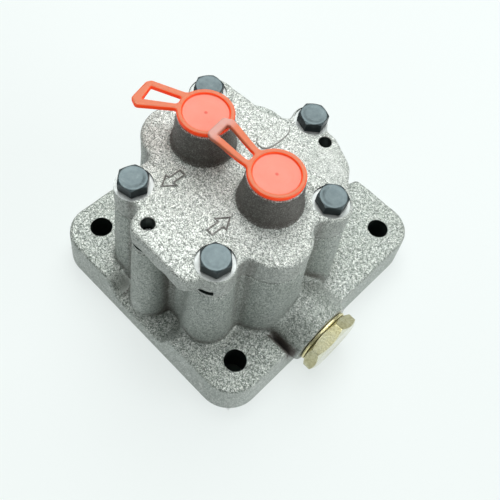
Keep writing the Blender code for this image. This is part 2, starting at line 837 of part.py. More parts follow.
def make_cover(material):
    top = COVER_TOP_Z
    turns = wall_turns(cover_outline)
    levels = [
        ring_at(cover_outline, turns, -0.5, COVER_Z),
        ring_at(cover_outline, turns, 0.0, COVER_Z + 0.6),
        ring_at(cover_outline, turns, -0.1, top - COVER_EDGE_R),
    ]
    for k in range(1, 3):
        turn = math.pi / 2 * k / 2
        sink = 0.1 + COVER_EDGE_R * (1 - math.cos(turn))
        level = top - COVER_EDGE_R + COVER_EDGE_R * math.sin(turn)
        levels.append(ring_at(cover_outline, turns, -sink, level))
    cover = loft("cover", levels, material)
    join(cover, *[port_boss(cx) for cx in PORT_XS], name_pad())
    cuts = []
    for cx in PORT_XS:
        profile = [
            (0, COVER_Z - 2),
            (PORT_R, COVER_Z - 2),
            (PORT_R, PORT_BOSS_TOP_Z - PORT_THREAD_L - 2.0),
            (PORT_THREAD_R, PORT_BOSS_TOP_Z - PORT_THREAD_L),
            (PORT_THREAD_R, PORT_BOSS_TOP_Z - 1.2),
            (PORT_THREAD_R + 1.3, PORT_BOSS_TOP_Z + 0.1),
            (PORT_THREAD_R + 1.3, PORT_BOSS_TOP_Z + 2),
            (0, PORT_BOSS_TOP_Z + 2),
        ]
        cuts.append(revolve("port_bore", profile, 24, None, (cx, PORT_Y)))
    for axis in (DRIVE, IDLER):
        cuts.append(cylinder("bush_bore", BUSH_BORE_R, COVER_Z - 2, SHAFT_TOP_Z + 2 * GAP, axis, 24))
    for cx, cy, _ in BOLTS:
        cuts.append(cylinder("bolt_hole", BOLT_R + 0.5, COVER_Z - 2, top + 2, (cx, cy), 12))
        cuts.append(cylinder("spot_face", SPOT_R, SEAT_Z, top + 3, (cx, cy), 24))
    for cx, cy in DOWELS:
        cuts.append(cylinder("dowel_hole", DOWEL_HOLE_R, COVER_Z - 2, top + 2, (cx, cy), 16))
    cuts.append(seal_groove())
    cut(cover, *cuts)
    return finish(cover, "pump_cover", 30)


def make_cover_seal(material):
    z = COVER_Z + SEAL_WIRE_R
    path = [(x, y, z) for x, y in seal_path(30)]
    seal = sweep_ring("cover_seal", path, round_section(SEAL_WIRE_R, 5, 0.0), material)
    return finish(seal, "cover_seal", 60)


# Rotating parts

def key_turn(axis):
    """The idler is turned half a tooth so that its gap meets the driver's tooth."""
    return 0.0 if axis == DRIVE else math.pi / TEETH


def place_on(obj, axis):
    move = Matrix.Translation((axis[0], axis[1], 0)) @ Matrix.Rotation(key_turn(axis), 4, "Z")
    return turned(obj, move)


def key_seat(low, high, inner, outer, spread):
    half = KEY_W / 2 + spread
    return prism("key_seat", rounded_box(-half, half, inner, outer, 0.3, 1), low, high)


def make_gear(name, axis, material):
    low = GEAR_TOP_Z - GEAR_W
    gear = prism("gear", gear_outline(), low, GEAR_TOP_Z, material)
    bore = cylinder("bore", SHAFT_R + GAP, low - 1, GEAR_TOP_Z + 1, (0, 0), 24)
    seat = key_seat(low - 1, GEAR_TOP_Z + 1, 0.0, SHAFT_R + KEY_OUT + KEY_GAP, KEY_GAP)
    cut(gear, bore, seat)
    place_on(gear, axis)
    return finish(gear, name, 28, (axis[0], axis[1], low))


def key_span():
    middle = GEAR_TOP_Z - GEAR_W / 2
    return middle - KEY_L / 2, middle + KEY_L / 2


def make_key(name, axis, material):
    low, high = key_span()
    half = KEY_W / 2
    inner = SHAFT_R - (KEY_W - KEY_OUT)
    key = prism("key", rounded_box(-half, half, inner, SHAFT_R + KEY_OUT, 0.3, 1), low, high, material)
    place_on(key, axis)
    return finish(key, name, 28, (axis[0], axis[1], low))


def cut_key_seat(shaft):
    low, high = key_span()
    inner = SHAFT_R - (KEY_W - KEY_OUT) - KEY_GAP
    return cut(shaft, key_seat(low - KEY_GAP, high + KEY_GAP, inner, SHAFT_R + 2, KEY_GAP))


def make_drive_shaft(material):
    outline = spline_outline(SPLINE_R, SPLINE_ROOT_R, 0.0)
    count = len(outline)
    spline_top = COUPLING_TOP_Z + 0.4
    small = [(x * 0.93, y * 0.93, SHAFT_FOOT_Z) for x, y in outline]
    rings = [small]
    rings.append([(x, y, SHAFT_FOOT_Z + 0.6) for x, y in outline])
    rings.append([(x, y, spline_top) for x, y in outline])
    for radius, z in ((SHAFT_R, spline_top + 0.05), (SHAFT_R, SHAFT_TOP_Z - 0.8), (SHAFT_R - 0.8, SHAFT_TOP_Z)):
        ring = []
        for x, y in outline:
            turn = math.atan2(y, x)
            ring.append((radius * math.cos(turn), radius * math.sin(turn), z))
        rings.append(ring)
    shaft = loft("drive_shaft", rings, material)
    cut_key_seat(shaft)
    cut(shaft, coupling_pin_hole(COUPLING_R))
    return finish(shaft, "drive_shaft", 28, (0, 0, SHAFT_FOOT_Z))


def coupling_pin_hole(half):
    z = SHAFT_FOOT_Z + SPLINE_L * 0.52
    hole = cylinder("pin_hole", 1.5 + KEY_GAP, -half - 1, half + 1, (0, 0), 10)
    return along_x(hole, 0.0, z)


def make_coupling_pin(material):
    z = SHAFT_FOOT_Z + SPLINE_L * 0.52
    reach = COUPLING_R - 0.6
    profile = [(0, -reach), (1.1, -reach), (1.5, -reach + 0.4), (1.5, reach - 0.4), (1.1, reach), (0, reach)]
    pin = along_x(revolve("coupling_pin", profile, 10, material), 0.0, z)
    return finish(pin, "coupling_pin", 40, (0, 0, z))


def make_coupling(material):
    low = COUPLING_Z
    high = COUPLING_TOP_Z
    profile = [
        (0, low),
        (COUPLING_R - 1.0, low),
        (COUPLING_R, low + 1.0),
        (COUPLING_R, high - 1.0),
        (COUPLING_R - 1.0, high),
        (0, high),
    ]
    sleeve = revolve("drive_coupling", profile, 24, material)
    socket = prism(
        "socket", spline_outline(SPLINE_R + GAP, SPLINE_ROOT_R + GAP, GAP), low - 1, high + 1
    )
    cut(sleeve, socket, coupling_pin_hole(COUPLING_R))
    return finish(sleeve, "drive_coupling", 28, (0, 0, low))


def make_idler_shaft(material):
    low = BODY_BUSH_Z - 0.6
    profile = [
        (0, low),
        (SHAFT_R - 0.7, low),
        (SHAFT_R, low + 0.7),
        (SHAFT_R, SHAFT_TOP_Z - 0.7),
        (SHAFT_R - 0.7, SHAFT_TOP_Z),
        (0, SHAFT_TOP_Z),
    ]
    shaft = revolve("idler_shaft", profile, 28, material)
    cut_key_seat(shaft)
    place_on(shaft, IDLER)
    return finish(shaft, "idler_shaft", 28, (IDLER[0], IDLER[1], low))


def make_bush(name, axis, low, length, material):
    ease = 0.5
    profile = [
        (BUSH_IN_R, low),
        (BUSH_OUT_R - ease, low),
        (BUSH_OUT_R, low + ease),
        (BUSH_OUT_R, low + length),
        (BUSH_IN_R, low + length),
    ]
    bush = revolve(name, profile, 24, material, axis)
    return finish(bush, name, 28, (axis[0], axis[1], low))


def make_shaft_seal(material):
    high = SEAL_BORE_TOP_Z - GAP
    low = high - SEAL_L
    outer = SEAL_R - GAP
    lip = SHAFT_R + GAP
    profile = [
        (lip, low + 0.8),
        (lip + 1.2, low),
        (lip + 2.0, low + 2.4),
        (outer - 1.6, low + 2.9),
        (outer - 1.2, low),
        (outer, low + 0.4),
        (outer, high),
        (lip + 1.4, high),
        (lip + 0.5, high - 2.2),
    ]
    return finish(revolve("shaft_seal", profile, 24, material), "shaft_seal", 40)


def make_seal_ring(material):
    """The open spring ring that keeps the seal in its bore."""
    low = CHAMBER_Z + 0.6 + GAP / 2
    outer = RING_GROOVE_R - GAP
    inner = SEAL_R - 2.0
    outline = []
    for k in range(25):
        turn = math.radians(14 + 332 * k / 24)
        outline.append((outer * math.cos(turn), outer * math.sin(turn)))
    for k in range(25):
        turn = math.radians(346 - 332 * k / 24)
        ear = 1.9 if k in (0, 24) else 0.0
        outline.append(((inner - ear) * math.cos(turn), (inner - ear) * math.sin(turn)))
    ring = prism("seal_snap_ring", outline, low, low + RING_T, material)
    return finish(ring, "seal_snap_ring", 28)


# Fasteners

def hex_points(across, turn):
    corner = across / math.sqrt(3)
    return [
        (corner * math.cos(turn + math.pi / 3 * k), corner * math.sin(turn + math.pi / 3 * k))
        for k in range(6)
    ]


def hex_head(name, across, low, high, turn, material):
    """A hexagon with its outer corners turned off at thirty degrees."""
    head = prism(name, hex_points(across, turn), low, high, material)
    corner = across / math.sqrt(3)
    flat_r = across / 2 - 0.15
    fall = (corner + 0.4 - flat_r) * math.tan(math.radians(30))
    profile = [
        (0, low - 1),
        (corner + 0.4, low - 1),
        (corner + 0.4, high - fall),
        (flat_r, high),
        (0, high),
    ]
    turned_off = revolve("turned_off", profile, 24)
    return combine(head, [turned_off], "INTERSECT")


def make_bolt(index, material):
    cx, cy, turn = BOLTS[index]
    seat = SEAT_Z + GAP
    head = hex_head("bolt", BOLT_AF, seat, seat + BOLT_HEAD_H, turn, material)
    foot = seat - BOLT_UNDER_HEAD
    profile = [
        (0, foot),
        (BOLT_R - 0.9, foot),
        (BOLT_R, foot + 0.9),
        (BOLT_R, seat + 1.0),
        (0, seat + 1.0),
    ]
    join(head, revolve("shank", profile, 12))
    turned(head, Matrix.Translation((cx, cy, 0)))
    return finish(head, f"cover_bolt_{index + 1}", 28, (cx, cy, seat))


def make_dowel(index, material):
    cx, cy = DOWELS[index]
    radius = DOWEL_HOLE_R - 0.25
    high = COVER_TOP_Z - DOWEL_SUNK
    low = high - DOWEL_L
    profile = [
        (0, low),
        (radius - 0.6, low),
        (radius, low + 0.6),
        (radius, high - 0.6),
        (radius - 0.6, high),
        (0, high),
    ]
    pin = revolve("dowel", profile, 12, material, (cx, cy))
    return finish(pin, f"dowel_pin_{index + 1}", 28, (cx, cy, low))


# Relief valve

def make_relief_plug(material):
    head = hex_head("plug", PLUG_AF, 0.0, PLUG_HEX_T, 0.0, material)
    shank_end = -(WASHER_T + 2 * GAP) - PLUG_SHANK_L
    radius = RELIEF_THREAD_R - THREAD_GAP
    profile = [
        (0, shank_end),
        (radius - 1.0, shank_end),
        (radius, shank_end + 1.0),
        (radius, 1.0),
        (0, 1.0),
    ]
    join(head, revolve("shank", profile, 28))
    pocket = cylinder("pocket", SPRING_R + SPRING_WIRE_R + GAP, shank_end - 1, PLUG_HEX_T - 11.0, (0, 0), 32)
    cut(head, pocket)
    lay = (
        Matrix.Translation((HEX_X, PORT_Y, RELIEF_Z))
        @ Matrix.Rotation(math.radians(30) + PLUG_TURN, 4, "X")
        @ Matrix.Rotation(math.radians(90), 4, "Y")
    )
    turned(head, lay)
    return finish(head, "relief_plug", 28, (HEX_X, PORT_Y, RELIEF_Z))


def make_relief_washer(material):
    inner = RELIEF_THREAD_R - THREAD_GAP + GAP
    x = RELIEF_END_GAP_X
    profile = [
        (inner, x),
        (WASHER_R - 0.3, x),
        (WASHER_R, x + 0.3),
        (WASHER_R, x + WASHER_T - 0.3),
        (WASHER_R - 0.3, x + WASHER_T),
        (inner, x + WASHER_T),
    ]
    washer = along_x(revolve("relief_washer", profile, 28, material), PORT_Y, RELIEF_Z)
    return finish(washer, "relief_washer", 28, (x, PORT_Y, RELIEF_Z))


def make_piston(material):
    radius = RELIEF_BORE_R - GAP
    low = RELIEF_SEAT_X + GAP
    high = low + PISTON_L
    profile = [
        (0, low),
        (RELIEF_SEAT_R + 1.0, low),
        (radius, low + 1.4),
        (radius, low + 6.0),
        (radius - 0.7, low + 7.0),
        (radius, low + 8.0),
        (radius, high),
        (radius - PISTON_WALL, high),
        (radius - PISTON_WALL, low + 5.0),
        (0, low + 5.0),
    ]
    piston = along_x(revolve("relief_piston", profile, 24, material), PORT_Y, RELIEF_Z)
    return finish(piston, "relief_piston", 28, (low, PORT_Y, RELIEF_Z))


def make_spring(material):
    start = RELIEF_SEAT_X + GAP + 5.0 + GAP + SPRING_WIRE_R
    pocket_end = HEX_X + PLUG_HEX_T - 11.0
    end = pocket_end - GAP - SPRING_WIRE_R
    per_turn = 10
    steps = int(SPRING_TURNS * per_turn)
    rings = []
    for k in range(steps + 1):
        turn = 2 * math.pi * k / per_turn
        x = start + (end - start) * k / steps
        out = Vector((0, math.cos(turn), math.sin(turn)))
        middle = Vector((x, PORT_Y, RELIEF_Z)) + out * SPRING_R
        ring = []
        for s, u in round_section(SPRING_WIRE_R, 5):
            ring.append(tuple(middle + out * s + Vector((u, 0, 0))))
        rings.append(ring)
    spring = loft("relief_spring", rings, material)
    return finish(spring, "relief_spring", 50, (end, PORT_Y, RELIEF_Z))


# Transit caps

def make_cap(name, centre_x, loop, material):
    """A push-in cap with a raised rim, a sunk top and a flat pull loop."""
    towards, length, tip_w, root_w, rise = loop
    low = CAP_Z
    high = CAP_TOP_Z
    stem_r = PORT_THREAD_R - GAP
    floor = high - CAP_RECESS_H
    foot = PORT_BOSS_TOP_Z - CAP_STEM_L
    profile = [
        (0, floor),
        (CAP_RECESS_R, floor),
        (CAP_RECESS_R + 0.2, high - 0.3),
        (CAP_RECESS_R + 0.5, high),
        (CAP_R - 0.7, high),
        (CAP_R - 0.2, high - 0.25),
        (CAP_R, high - 0.7),
        (CAP_R, low),
        (stem_r - 0.05, low),
        (stem_r - 0.9, foot),
        (stem_r - CAP_STEM_WALL, foot),
        (stem_r - CAP_STEM_WALL, floor - CAP_FLOOR_T),
        (0, floor - CAP_FLOOR_T),
    ]
    cap = revolve(name, profile, 28, material)
    z_root = low + CAP_RIM_H / 2
    ring_r = (CAP_R + CAP_RECESS_R) / 2 + 0.3
    reach = math.sqrt(ring_r**2 - (root_w / 2) ** 2)
    corners = [
        (reach, root_w / 2, z_root, 0),
        (length - LOOP_W / 2, tip_w / 2 - LOOP_W / 2, z_root + rise, LOOP_TIP_R),
        (length - LOOP_W / 2, -tip_w / 2 + LOOP_W / 2, z_root + rise, LOOP_TIP_R),
        (reach, -root_w / 2, z_root, 0),
    ]
    bar = sweep_open("loop", eased_path(corners), bar_section(LOOP_W, LOOP_T, 0.5))
    turned(bar, Matrix.Rotation(math.radians(towards), 4, "Z"))
    join(cap, bar)
    turned(cap, Matrix.Translation((centre_x, PORT_Y, 0)))
    return finish(cap, name, 35, (centre_x, PORT_Y, low))


def clear_scene():
    for obj in list(bpy.data.objects):
        bpy.data.objects.remove(obj, do_unlink=True)
    for mesh in list(bpy.data.meshes):
        bpy.data.meshes.remove(mesh)
    for material in list(bpy.data.materials):
        bpy.data.materials.remove(material)


def main():
    clear_scene()
    iron = make_material("cast_iron_body", (0.52, 0.53, 0.47), 0.55, 0.6)
    cover_iron = make_material("cast_iron_cover", (0.56, 0.57, 0.50), 0.5, 0.6)
    bolt_steel = make_material("bolt_steel", (0.30, 0.35, 0.38), 0.35, 0.9)
    gear_steel = make_material("gear_steel", (0.55, 0.55, 0.56), 0.3, 1.0)
    shaft_steel = make_material("shaft_steel", (0.62, 0.62, 0.63), 0.25, 1.0)
    key_steel = make_material("key_steel", (0.42, 0.42, 0.44), 0.35, 1.0)
    bronze = make_material("bush_bronze", (0.62, 0.42, 0.20), 0.4, 1.0)
    rubber = make_material("black_rubber", (0.02, 0.02, 0.02), 0.7, 0.0)
    spring_steel = make_material("spring_steel", (0.35, 0.34, 0.33), 0.3, 1.0)
    zinc = make_material("yellow_zinc", (0.72, 0.66, 0.42), 0.35, 0.9)
    copper = make_material("sealing_washer", (0.70, 0.60, 0.30), 0.35, 1.0)
    red = make_material("red_plastic", (0.90, 0.10, 0.03), 0.35, 0.0)

    make_body(iron)
    make_cover(cover_iron)
    make_cover_seal(rubber)

    make_bush("drive_bush_body", DRIVE, BODY_BUSH_Z, BUSH_L, bronze)
    make_bush("idler_bush_body", IDLER, BODY_BUSH_Z, BUSH_L, bronze)
    make_bush("drive_bush_cover", DRIVE, COVER_BUSH_Z, COVER_BUSH_L, bronze)
    make_bush("idler_bush_cover", IDLER, COVER_BUSH_Z, COVER_BUSH_L, bronze)
    make_shaft_seal(rubber)
    make_seal_ring(spring_steel)

    make_drive_shaft(shaft_steel)
    make_idler_shaft(shaft_steel)
    make_gear("drive_gear", DRIVE, gear_steel)
    make_gear("idler_gear", IDLER, gear_steel)
    make_key("drive_key", DRIVE, key_steel)
    make_key("idler_key", IDLER, key_steel)
    make_coupling(key_steel)
    make_coupling_pin(spring_steel)

    for index in range(len(BOLTS)):
        make_bolt(index, bolt_steel)
    for index in range(len(DOWELS)):
        make_dowel(index, key_steel)

    make_relief_plug(zinc)
    make_relief_washer(copper)
    make_piston(shaft_steel)
    make_spring(spring_steel)

    for index, centre_x in enumerate(PORT_XS):
        make_cap(f"port_cap_{index + 1}", centre_x, CAP_LOOPS[index], red)


main()
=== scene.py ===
import json
import math

import bmesh
import bpy
import numpy as np
from mathutils import Matrix, Vector


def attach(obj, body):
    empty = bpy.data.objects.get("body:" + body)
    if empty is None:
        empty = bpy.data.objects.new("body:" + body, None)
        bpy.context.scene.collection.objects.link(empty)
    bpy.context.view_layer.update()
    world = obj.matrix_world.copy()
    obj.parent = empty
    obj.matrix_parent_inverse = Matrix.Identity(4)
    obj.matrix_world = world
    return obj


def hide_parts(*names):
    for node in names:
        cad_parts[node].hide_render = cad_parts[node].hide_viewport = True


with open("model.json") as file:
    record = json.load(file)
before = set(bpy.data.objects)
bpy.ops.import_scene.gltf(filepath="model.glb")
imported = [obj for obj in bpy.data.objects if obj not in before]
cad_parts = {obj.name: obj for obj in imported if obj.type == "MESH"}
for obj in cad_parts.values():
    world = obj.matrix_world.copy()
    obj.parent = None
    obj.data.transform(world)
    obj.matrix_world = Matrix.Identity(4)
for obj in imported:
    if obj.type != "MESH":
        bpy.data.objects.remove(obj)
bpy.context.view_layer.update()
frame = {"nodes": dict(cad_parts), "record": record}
nodes = frame["nodes"]

# Lengths are in millimetres from the centre of the flange, and points become metres in the row frame.
MM = 0.001
SHIFT_X = -6.05

FLANGE_HALF_X = 67.0
FLANGE_HALF_Y = 74.8
FLANGE_DRAFT = 1.3
FLANGE_CORNER_R = 17.5
BACK_CORNER_R = 25.0
PAD_Z = 22.0
WEB_Z = 10.0
PAD_GAP_X = (-21.7, 18.4)
PAD_GAP_Y = (-33.4, 3.5)
FLANGE_HOLES = ((-50.5, -56.4), (-50.5, 56.4), (50.5, -56.4), (50.5, 56.4))
HOLE_R = 5.75

BODY_TOP_Z = 70.5
COVER_Z = 70.8
COVER_TOP_Z = 85.6
SEAT_Z = 84.6
SPOT_R = 8.95
CAST_SLOPE = math.tan(math.radians(3.4))
MID_Y = -14.2
PORT_Y = -13.2
# Of each pry slot: centre, turn, width and reach into the cover
PRY_SLOTS = ((-2.6, -68.6, 0.2, 11.6, 4.4), (29.6, -61.9, 0.34, 8.2, 2.6))
PRY_SLOT_H = 3.0
LIP_Z = 76.2

CAVITY_R = 15.7
CAVITY_Z = 40.0
SHAFTS = ((0.0, 0.0), (0.0, -26.4))
BUSH_BORE_R = 10.0
BUSH_FLOOR_Z = 22.9
BUSH_TOP_Z = 82.5
DRIVE_ROOM_R = 19.0
DRIVE_ROOM = ((0, -15), (DRIVE_ROOM_R, -15), (DRIVE_ROOM_R, 16.0), (14.5, 16.0), (14.5, 24.0), (0, 24.0))
SEAL_HALF_X = 34.5
SEAL_HALF_Y = 33.0
SEAL_POWER = 0.45
SEAL_GROOVE_W = 2.8
SEAL_GROOVE_H = 2.5
PORTS = ((-22.5, PORT_Y), (20.2, PORT_Y))
PORT_ROOM_R = 7.0
PORT_ROOM_Z = 45.0
PORT_R = 8.5
PORT_THREAD_R = 10.5
PORT_THREAD_PITCH = 1.8
PORT_BOSS_R = 12.95
PORT_BOSS_TOP_Z = 104.2
PORT_BOSS_TAPER = 0.105

RELIEF_Z = 18.6
RELIEF_BOSS_R = 18.0
RELIEF_END_X = 70.0
# Of each bore along the relief valve: radius, and the x where it ends
RELIEF_BORES = ((8.0, 30.0), (5.0, 22.0), (10.5, 54.0))
HEX_X = 72.2
PLUG_AF = 30.0
PLUG_HEX_T = 6.9
PLUG_TURN = math.radians(54.5)
WASHER_R = 15.4
WASHER_T = 1.6

# Of each bolt: centre, and the turn of its head
BOLTS = (
    (-25.7, -52.2, -1.89),
    (26.2, -52.4, -1.77),
    (38.9, 7.6, -2.43),
    (1.7, 35.9, -2.41),
    (-43.0, 9.5, -1.05),
)
# Of each lobe round a bolt: centre and radius
BOLT_LOBES = (
    (-25.7, -52.2, 9.0),
    (26.2, -52.4, 9.6),
    (38.9, 7.6, 10.2),
    (0.8, 35.4, 9.0),
    (-43.0, 9.5, 9.2),
)
BOLT_AF = 13.0
BOLT_HEAD_H = 5.3
BOLT_HOLE_R = 4.35
BOLT_HOLE_Z = 48.4
DOWELS = ((-6.2, -61.0), (14.6, 30.9))
DOWEL_HOLE_R = 3.18
DOWEL_HOLE_Z = 58.6

# The plan of the body: tapered bars between two centres with their radii, and how softly each joins those before
BODY_BARS = (
    ((-33.0, MID_Y - 4.0, 18.2), (33.9, MID_Y - 9.0, 16.8), 6.0),
    ((-26.0, 2.5, 18.6), (26.0, 3.5, 18.0), 6.0),
    ((-20.0, -42.0, 11.5), (20.0, -43.0, 13.0), 6.0),
    ((-5.0, 10.0, 16.2), (8.0, 20.0, 14.5), 4.0),
    ((14.6, 24.2, 12.6), (23.2, 20.2, 11.2), 5.0),
    ((23.2, 20.2, 11.2), (36.5, 8.0, 9.5), 5.0),
    ((-39.2, 9.9, 11.2), (-25.0, 10.2, 11.0), 3.0),
)
BOLT_LOBE_BLEND = 4.0
NOTCH_BAR = ((-24.0, -49.0, 8.0), (-6.0, -53.5, 7.6), 2.0)
DOWEL_LOBE_R = 7.3
LIP_BAR = ((-5.4, -61.3, 7.3), (20.2, -61.6, 7.4))

CAP_Z = 104.5
CAP_TOP_Z = 106.9
CAP_R = 12.75
CAP_RECESS_R = 10.3
CAP_FLOOR_Z = 105.8
CAP_FOOT_Z = 95.2
CAP_TUBE_R = 10.15
CAP_TUBE_BORE_R = 8.6
CAP_PLATE_R = 9.6
CAP_PLATE_Z = 104.2
CAP_EASE = 0.62
# Of each moulded ring in a cap's floor: radius, width and height
CAP_RINGS = ((9.5, 0.32, 0.11), (0.0, 0.55, 0.32), (4.6, 0.4, 0.05), (7.2, 0.5, -0.05))
LOOP_T = 2.4
# Of each loop: direction in degrees, reach, rise to the tip, and its bar as (along, across, half width)
LOOPS = (
    (207.2, 30.3, 0.0, (
        (11.4, -5.0, 1.7), (27.3, -5.6, 1.7), (28.4, -4.7, 1.7), (30.0, 4.7, 2.2), (28.7, 6.4, 2.0), (11.6, 1.9, 1.4),
    )),
    (185.8, 33.9, 2.7, (
        (11.8, -2.6, 1.6), (29.3, -5.5, 1.8), (31.9, -4.0, 1.9), (31.5, 4.6, 2.0), (30.3, 5.3, 1.7), (11.6, 4.6, 1.4),
    )),
)

# The bare oval pad: centre and half sizes
NAME_PAD = (-3.9, 14.3, 4.4, 9.6)
# Of each flow arrow: centre, and the turn that its head points to
FLOW_ARROWS = ((-16.3, -38.1, -92.0), (14.5, -38.5, 88.0))
ARROW = ((5.9, 0.0), (0.5, 3.6), (0.5, 1.6), (-5.9, 1.6), (-5.9, -1.6), (0.5, -1.6), (0.5, -3.6))

# Azimuth, elevation and roll in degrees, then the place in metres and the lens in millimetres
CAMERA_TURNS = (32.85, 60.36, 13.47)
CAMERA_PLACE = (0.09875, -0.1507, 0.3223)
CAMERA_LENS = 46.5
DAYLIGHT = (0.93, 0.985, 0.97, 1.0)


# Meshes

def new_object(name, points, faces, material=None, place=None):
    """A mesh from points in millimetres, turned and moved by place first."""
    made = np.array(points, dtype=float).reshape(-1, 3)
    if place is not None:
        turn = np.array(place)
        made = made @ turn[:3, :3].T + turn[:3, 3]
    made[:, 0] += SHIFT_X
    mesh = bpy.data.meshes.new(name)
    mesh.from_pydata((made * MM).tolist(), [], faces)
    shape = bmesh.new()
    shape.from_mesh(mesh)
    bmesh.ops.recalc_face_normals(shape, faces=shape.faces)
    shape.to_mesh(mesh)
    shape.free()
    obj = bpy.data.objects.new(name, mesh)
    bpy.context.scene.collection.objects.link(obj)
    if material:
        mesh.materials.append(material)
    return obj


def loft(name, rings, material=None, place=None):
    count = len(rings[0])
    points = [tuple(p) for ring in rings for p in ring]
    faces = [list(range(count))[::-1]]
    for level in range(len(rings) - 1):
        for i in range(count):
            j = (i + 1) % count
            a = level * count
            b = a + count
            faces.append([a + i, a + j, b + j, b + i])
    last = (len(rings) - 1) * count
    faces.append([last + i for i in range(count)])
    return new_object(name, points, faces, material, place)


def revolve(name, profile, segments, material=None, centre=(0.0, 0.0), place=None):
    """A (radius, height) profile turned about an upright axis."""
    rings = []
    points = []
    for radius, level in profile:
        ring = []
        steps = 1 if radius < 1e-6 else segments
        for k in range(steps):
            turn = 2 * math.pi * k / segments
            ring.append(len(points))
            points.append((centre[0] + radius * math.cos(turn), centre[1] + radius * math.sin(turn), level))
        rings.append(ring)
    closed = profile[0][0] > 1e-6
    faces = []
    for k in range(len(rings) if closed else len(rings) - 1):
        a = rings[k]
        b = rings[(k + 1) % len(rings)]
        for i in range(segments):
            j = (i + 1) % segments
            face = []
            for index in (a[i % len(a)], a[j % len(a)], b[j % len(b)], b[i % len(b)]):
                if index not in face:
                    face.append(index)
            if len(face) > 2:
                faces.append(face)
    return new_object(name, points, faces, material, place)


def lying(height):
    """Turns a piece built along +Z to lie along +X on the relief valve's axis, from x = height."""
    return Matrix.Translation((height, PORT_Y, RELIEF_Z)) @ Matrix.Rotation(math.radians(90), 4, "Y")


def box_solid(name, low, high):
    x0, y0, z0 = low
    x1, y1, z1 = high
    ring = ((x0, y0), (x1, y0), (x1, y1), (x0, y1))
    return loft(name, [[(x, y, z0) for x, y in ring], [(x, y, z1) for x, y in ring]])


def boolean(obj, others, operation="DIFFERENCE"):
    for other in others:
        step = obj.modifiers.new("step", "BOOLEAN")
        step.operation = operation
        step.solver = "EXACT"
        step.object = other
        graph = bpy.context.evaluated_depsgraph_get()
        made = bpy.data.meshes.new_from_object(obj.evaluated_get(graph))
        obj.modifiers.clear()
        shape = bmesh.new()
        shape.from_mesh(made)
        # The cut leaves a few slivers, and an open edge would spoil the next cut
        bmesh.ops.remove_doubles(shape, verts=shape.verts, dist=0.002 * MM)
        bmesh.ops.dissolve_degenerate(shape, dist=0.004 * MM, edges=shape.edges)
        open_edges = [edge for edge in shape.edges if edge.is_boundary]
        if open_edges:
            bmesh.ops.holes_fill(shape, edges=open_edges, sides=12)
        shape.to_mesh(made)
        shape.free()
        old = obj.data
        keep = [m for m in old.materials if m]
        obj.data = made
        made.materials.clear()
        for material in keep[:1]:
            made.materials.append(material)
        made.polygons.foreach_set("material_index", [0] * len(made.polygons))
        bpy.data.meshes.remove(old)
        bpy.data.objects.remove(other)
    return obj


def merged(objects):
    """Several solids that don't touch each other, as one."""
    shape = bmesh.new()
    for obj in objects:
        shape.from_mesh(obj.data)
        bpy.data.objects.remove(obj)
    mesh = bpy.data.meshes.new("cutter")
    shape.to_mesh(mesh)
    shape.free()
    obj = bpy.data.objects.new("cutter", mesh)
    bpy.context.scene.collection.objects.link(obj)
    return obj


def shaded(obj, angle=35.0):
    obj.data.shade_smooth()
    obj.data.set_sharp_from_angle(angle=math.radians(angle))
    return obj


def piece(obj, name, body, replaced=()):
    obj.name = name
    obj.data.name = name
    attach(obj, body)
    if replaced:
        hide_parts(*replaced)
    return obj


def rounded_polygon(corners, radius, steps):
    """Corner points, each eased by short arcs."""
    out = []
    count = len(corners)
    for i in range(count):
        here = Vector(corners[i])
        back = (Vector(corners[i - 1]) - here).normalized()
        ahead = (Vector(corners[(i + 1) % count]) - here).normalized()
        half = back.angle(ahead) / 2
        start = here + back * radius / math.tan(half)
        end = here + ahead * radius / math.tan(half)
        for k in range(steps + 1):
            t = k / steps
            out.append(tuple(start * (1 - t) ** 2 + here * 2 * t * (1 - t) + end * t * t))
    return out


def hexagon(across, turn):
    corner = across / math.sqrt(3)
    corners = [
        (corner * math.cos(turn + math.pi / 3 * k), corner * math.sin(turn + math.pi / 3 * k)) for k in range(6)
    ]
    return rounded_polygon(corners, 0.3, 4)


# Distance fields of the castings

def soft_min(a, b, width):
    reach = np.maximum(width - np.abs(a - b), 0) / width
    return np.minimum(a, b) - reach * reach * width / 4


def soft_max(a, b, width):
    return -soft_min(-a, -b, width)


def smooth_step(x, low, high):
    t = np.clip((x - low) / (high - low), 0, 1)
    return t * t * (3 - 2 * t)


def capsule(x, y, ax, ay, ar, bx, by, br):
    dx = bx - ax
    dy = by - ay
    t = np.clip(((x - ax) * dx + (y - ay) * dy) / (dx * dx + dy * dy), 0, 1)
    return np.hypot(x - ax - t * dx, y - ay - t * dy) - (ar + (br - ar) * t)


def rounded_rectangle(x, y, half_x, half_y, radius):
    qx = np.abs(x) - half_x + radius
    qy = np.abs(y) - half_y + radius
    outside = np.hypot(np.maximum(qx, 0), np.maximum(qy, 0))
    return outside + np.minimum(np.maximum(qx, qy), 0) - radius


def nearest(x, y, centres):
    """The distance to the nearest of the centres."""
    return np.min([np.hypot(x - centre[0], y - centre[1]) for centre in centres], axis=0)


def along_across(x, y, cx, cy, turn):
    """Places seen from a centre, along a direction and square to it."""
    along = (x - cx) * math.cos(turn) + (y - cy) * math.sin(turn)
    return along, (y - cy) * math.cos(turn) - (x - cx) * math.sin(turn)


def bored(near, off, radius, end):
    """A field less a round bore, which reaches as far as end is below zero."""
    return np.maximum(near, -np.maximum(off - radius, end))


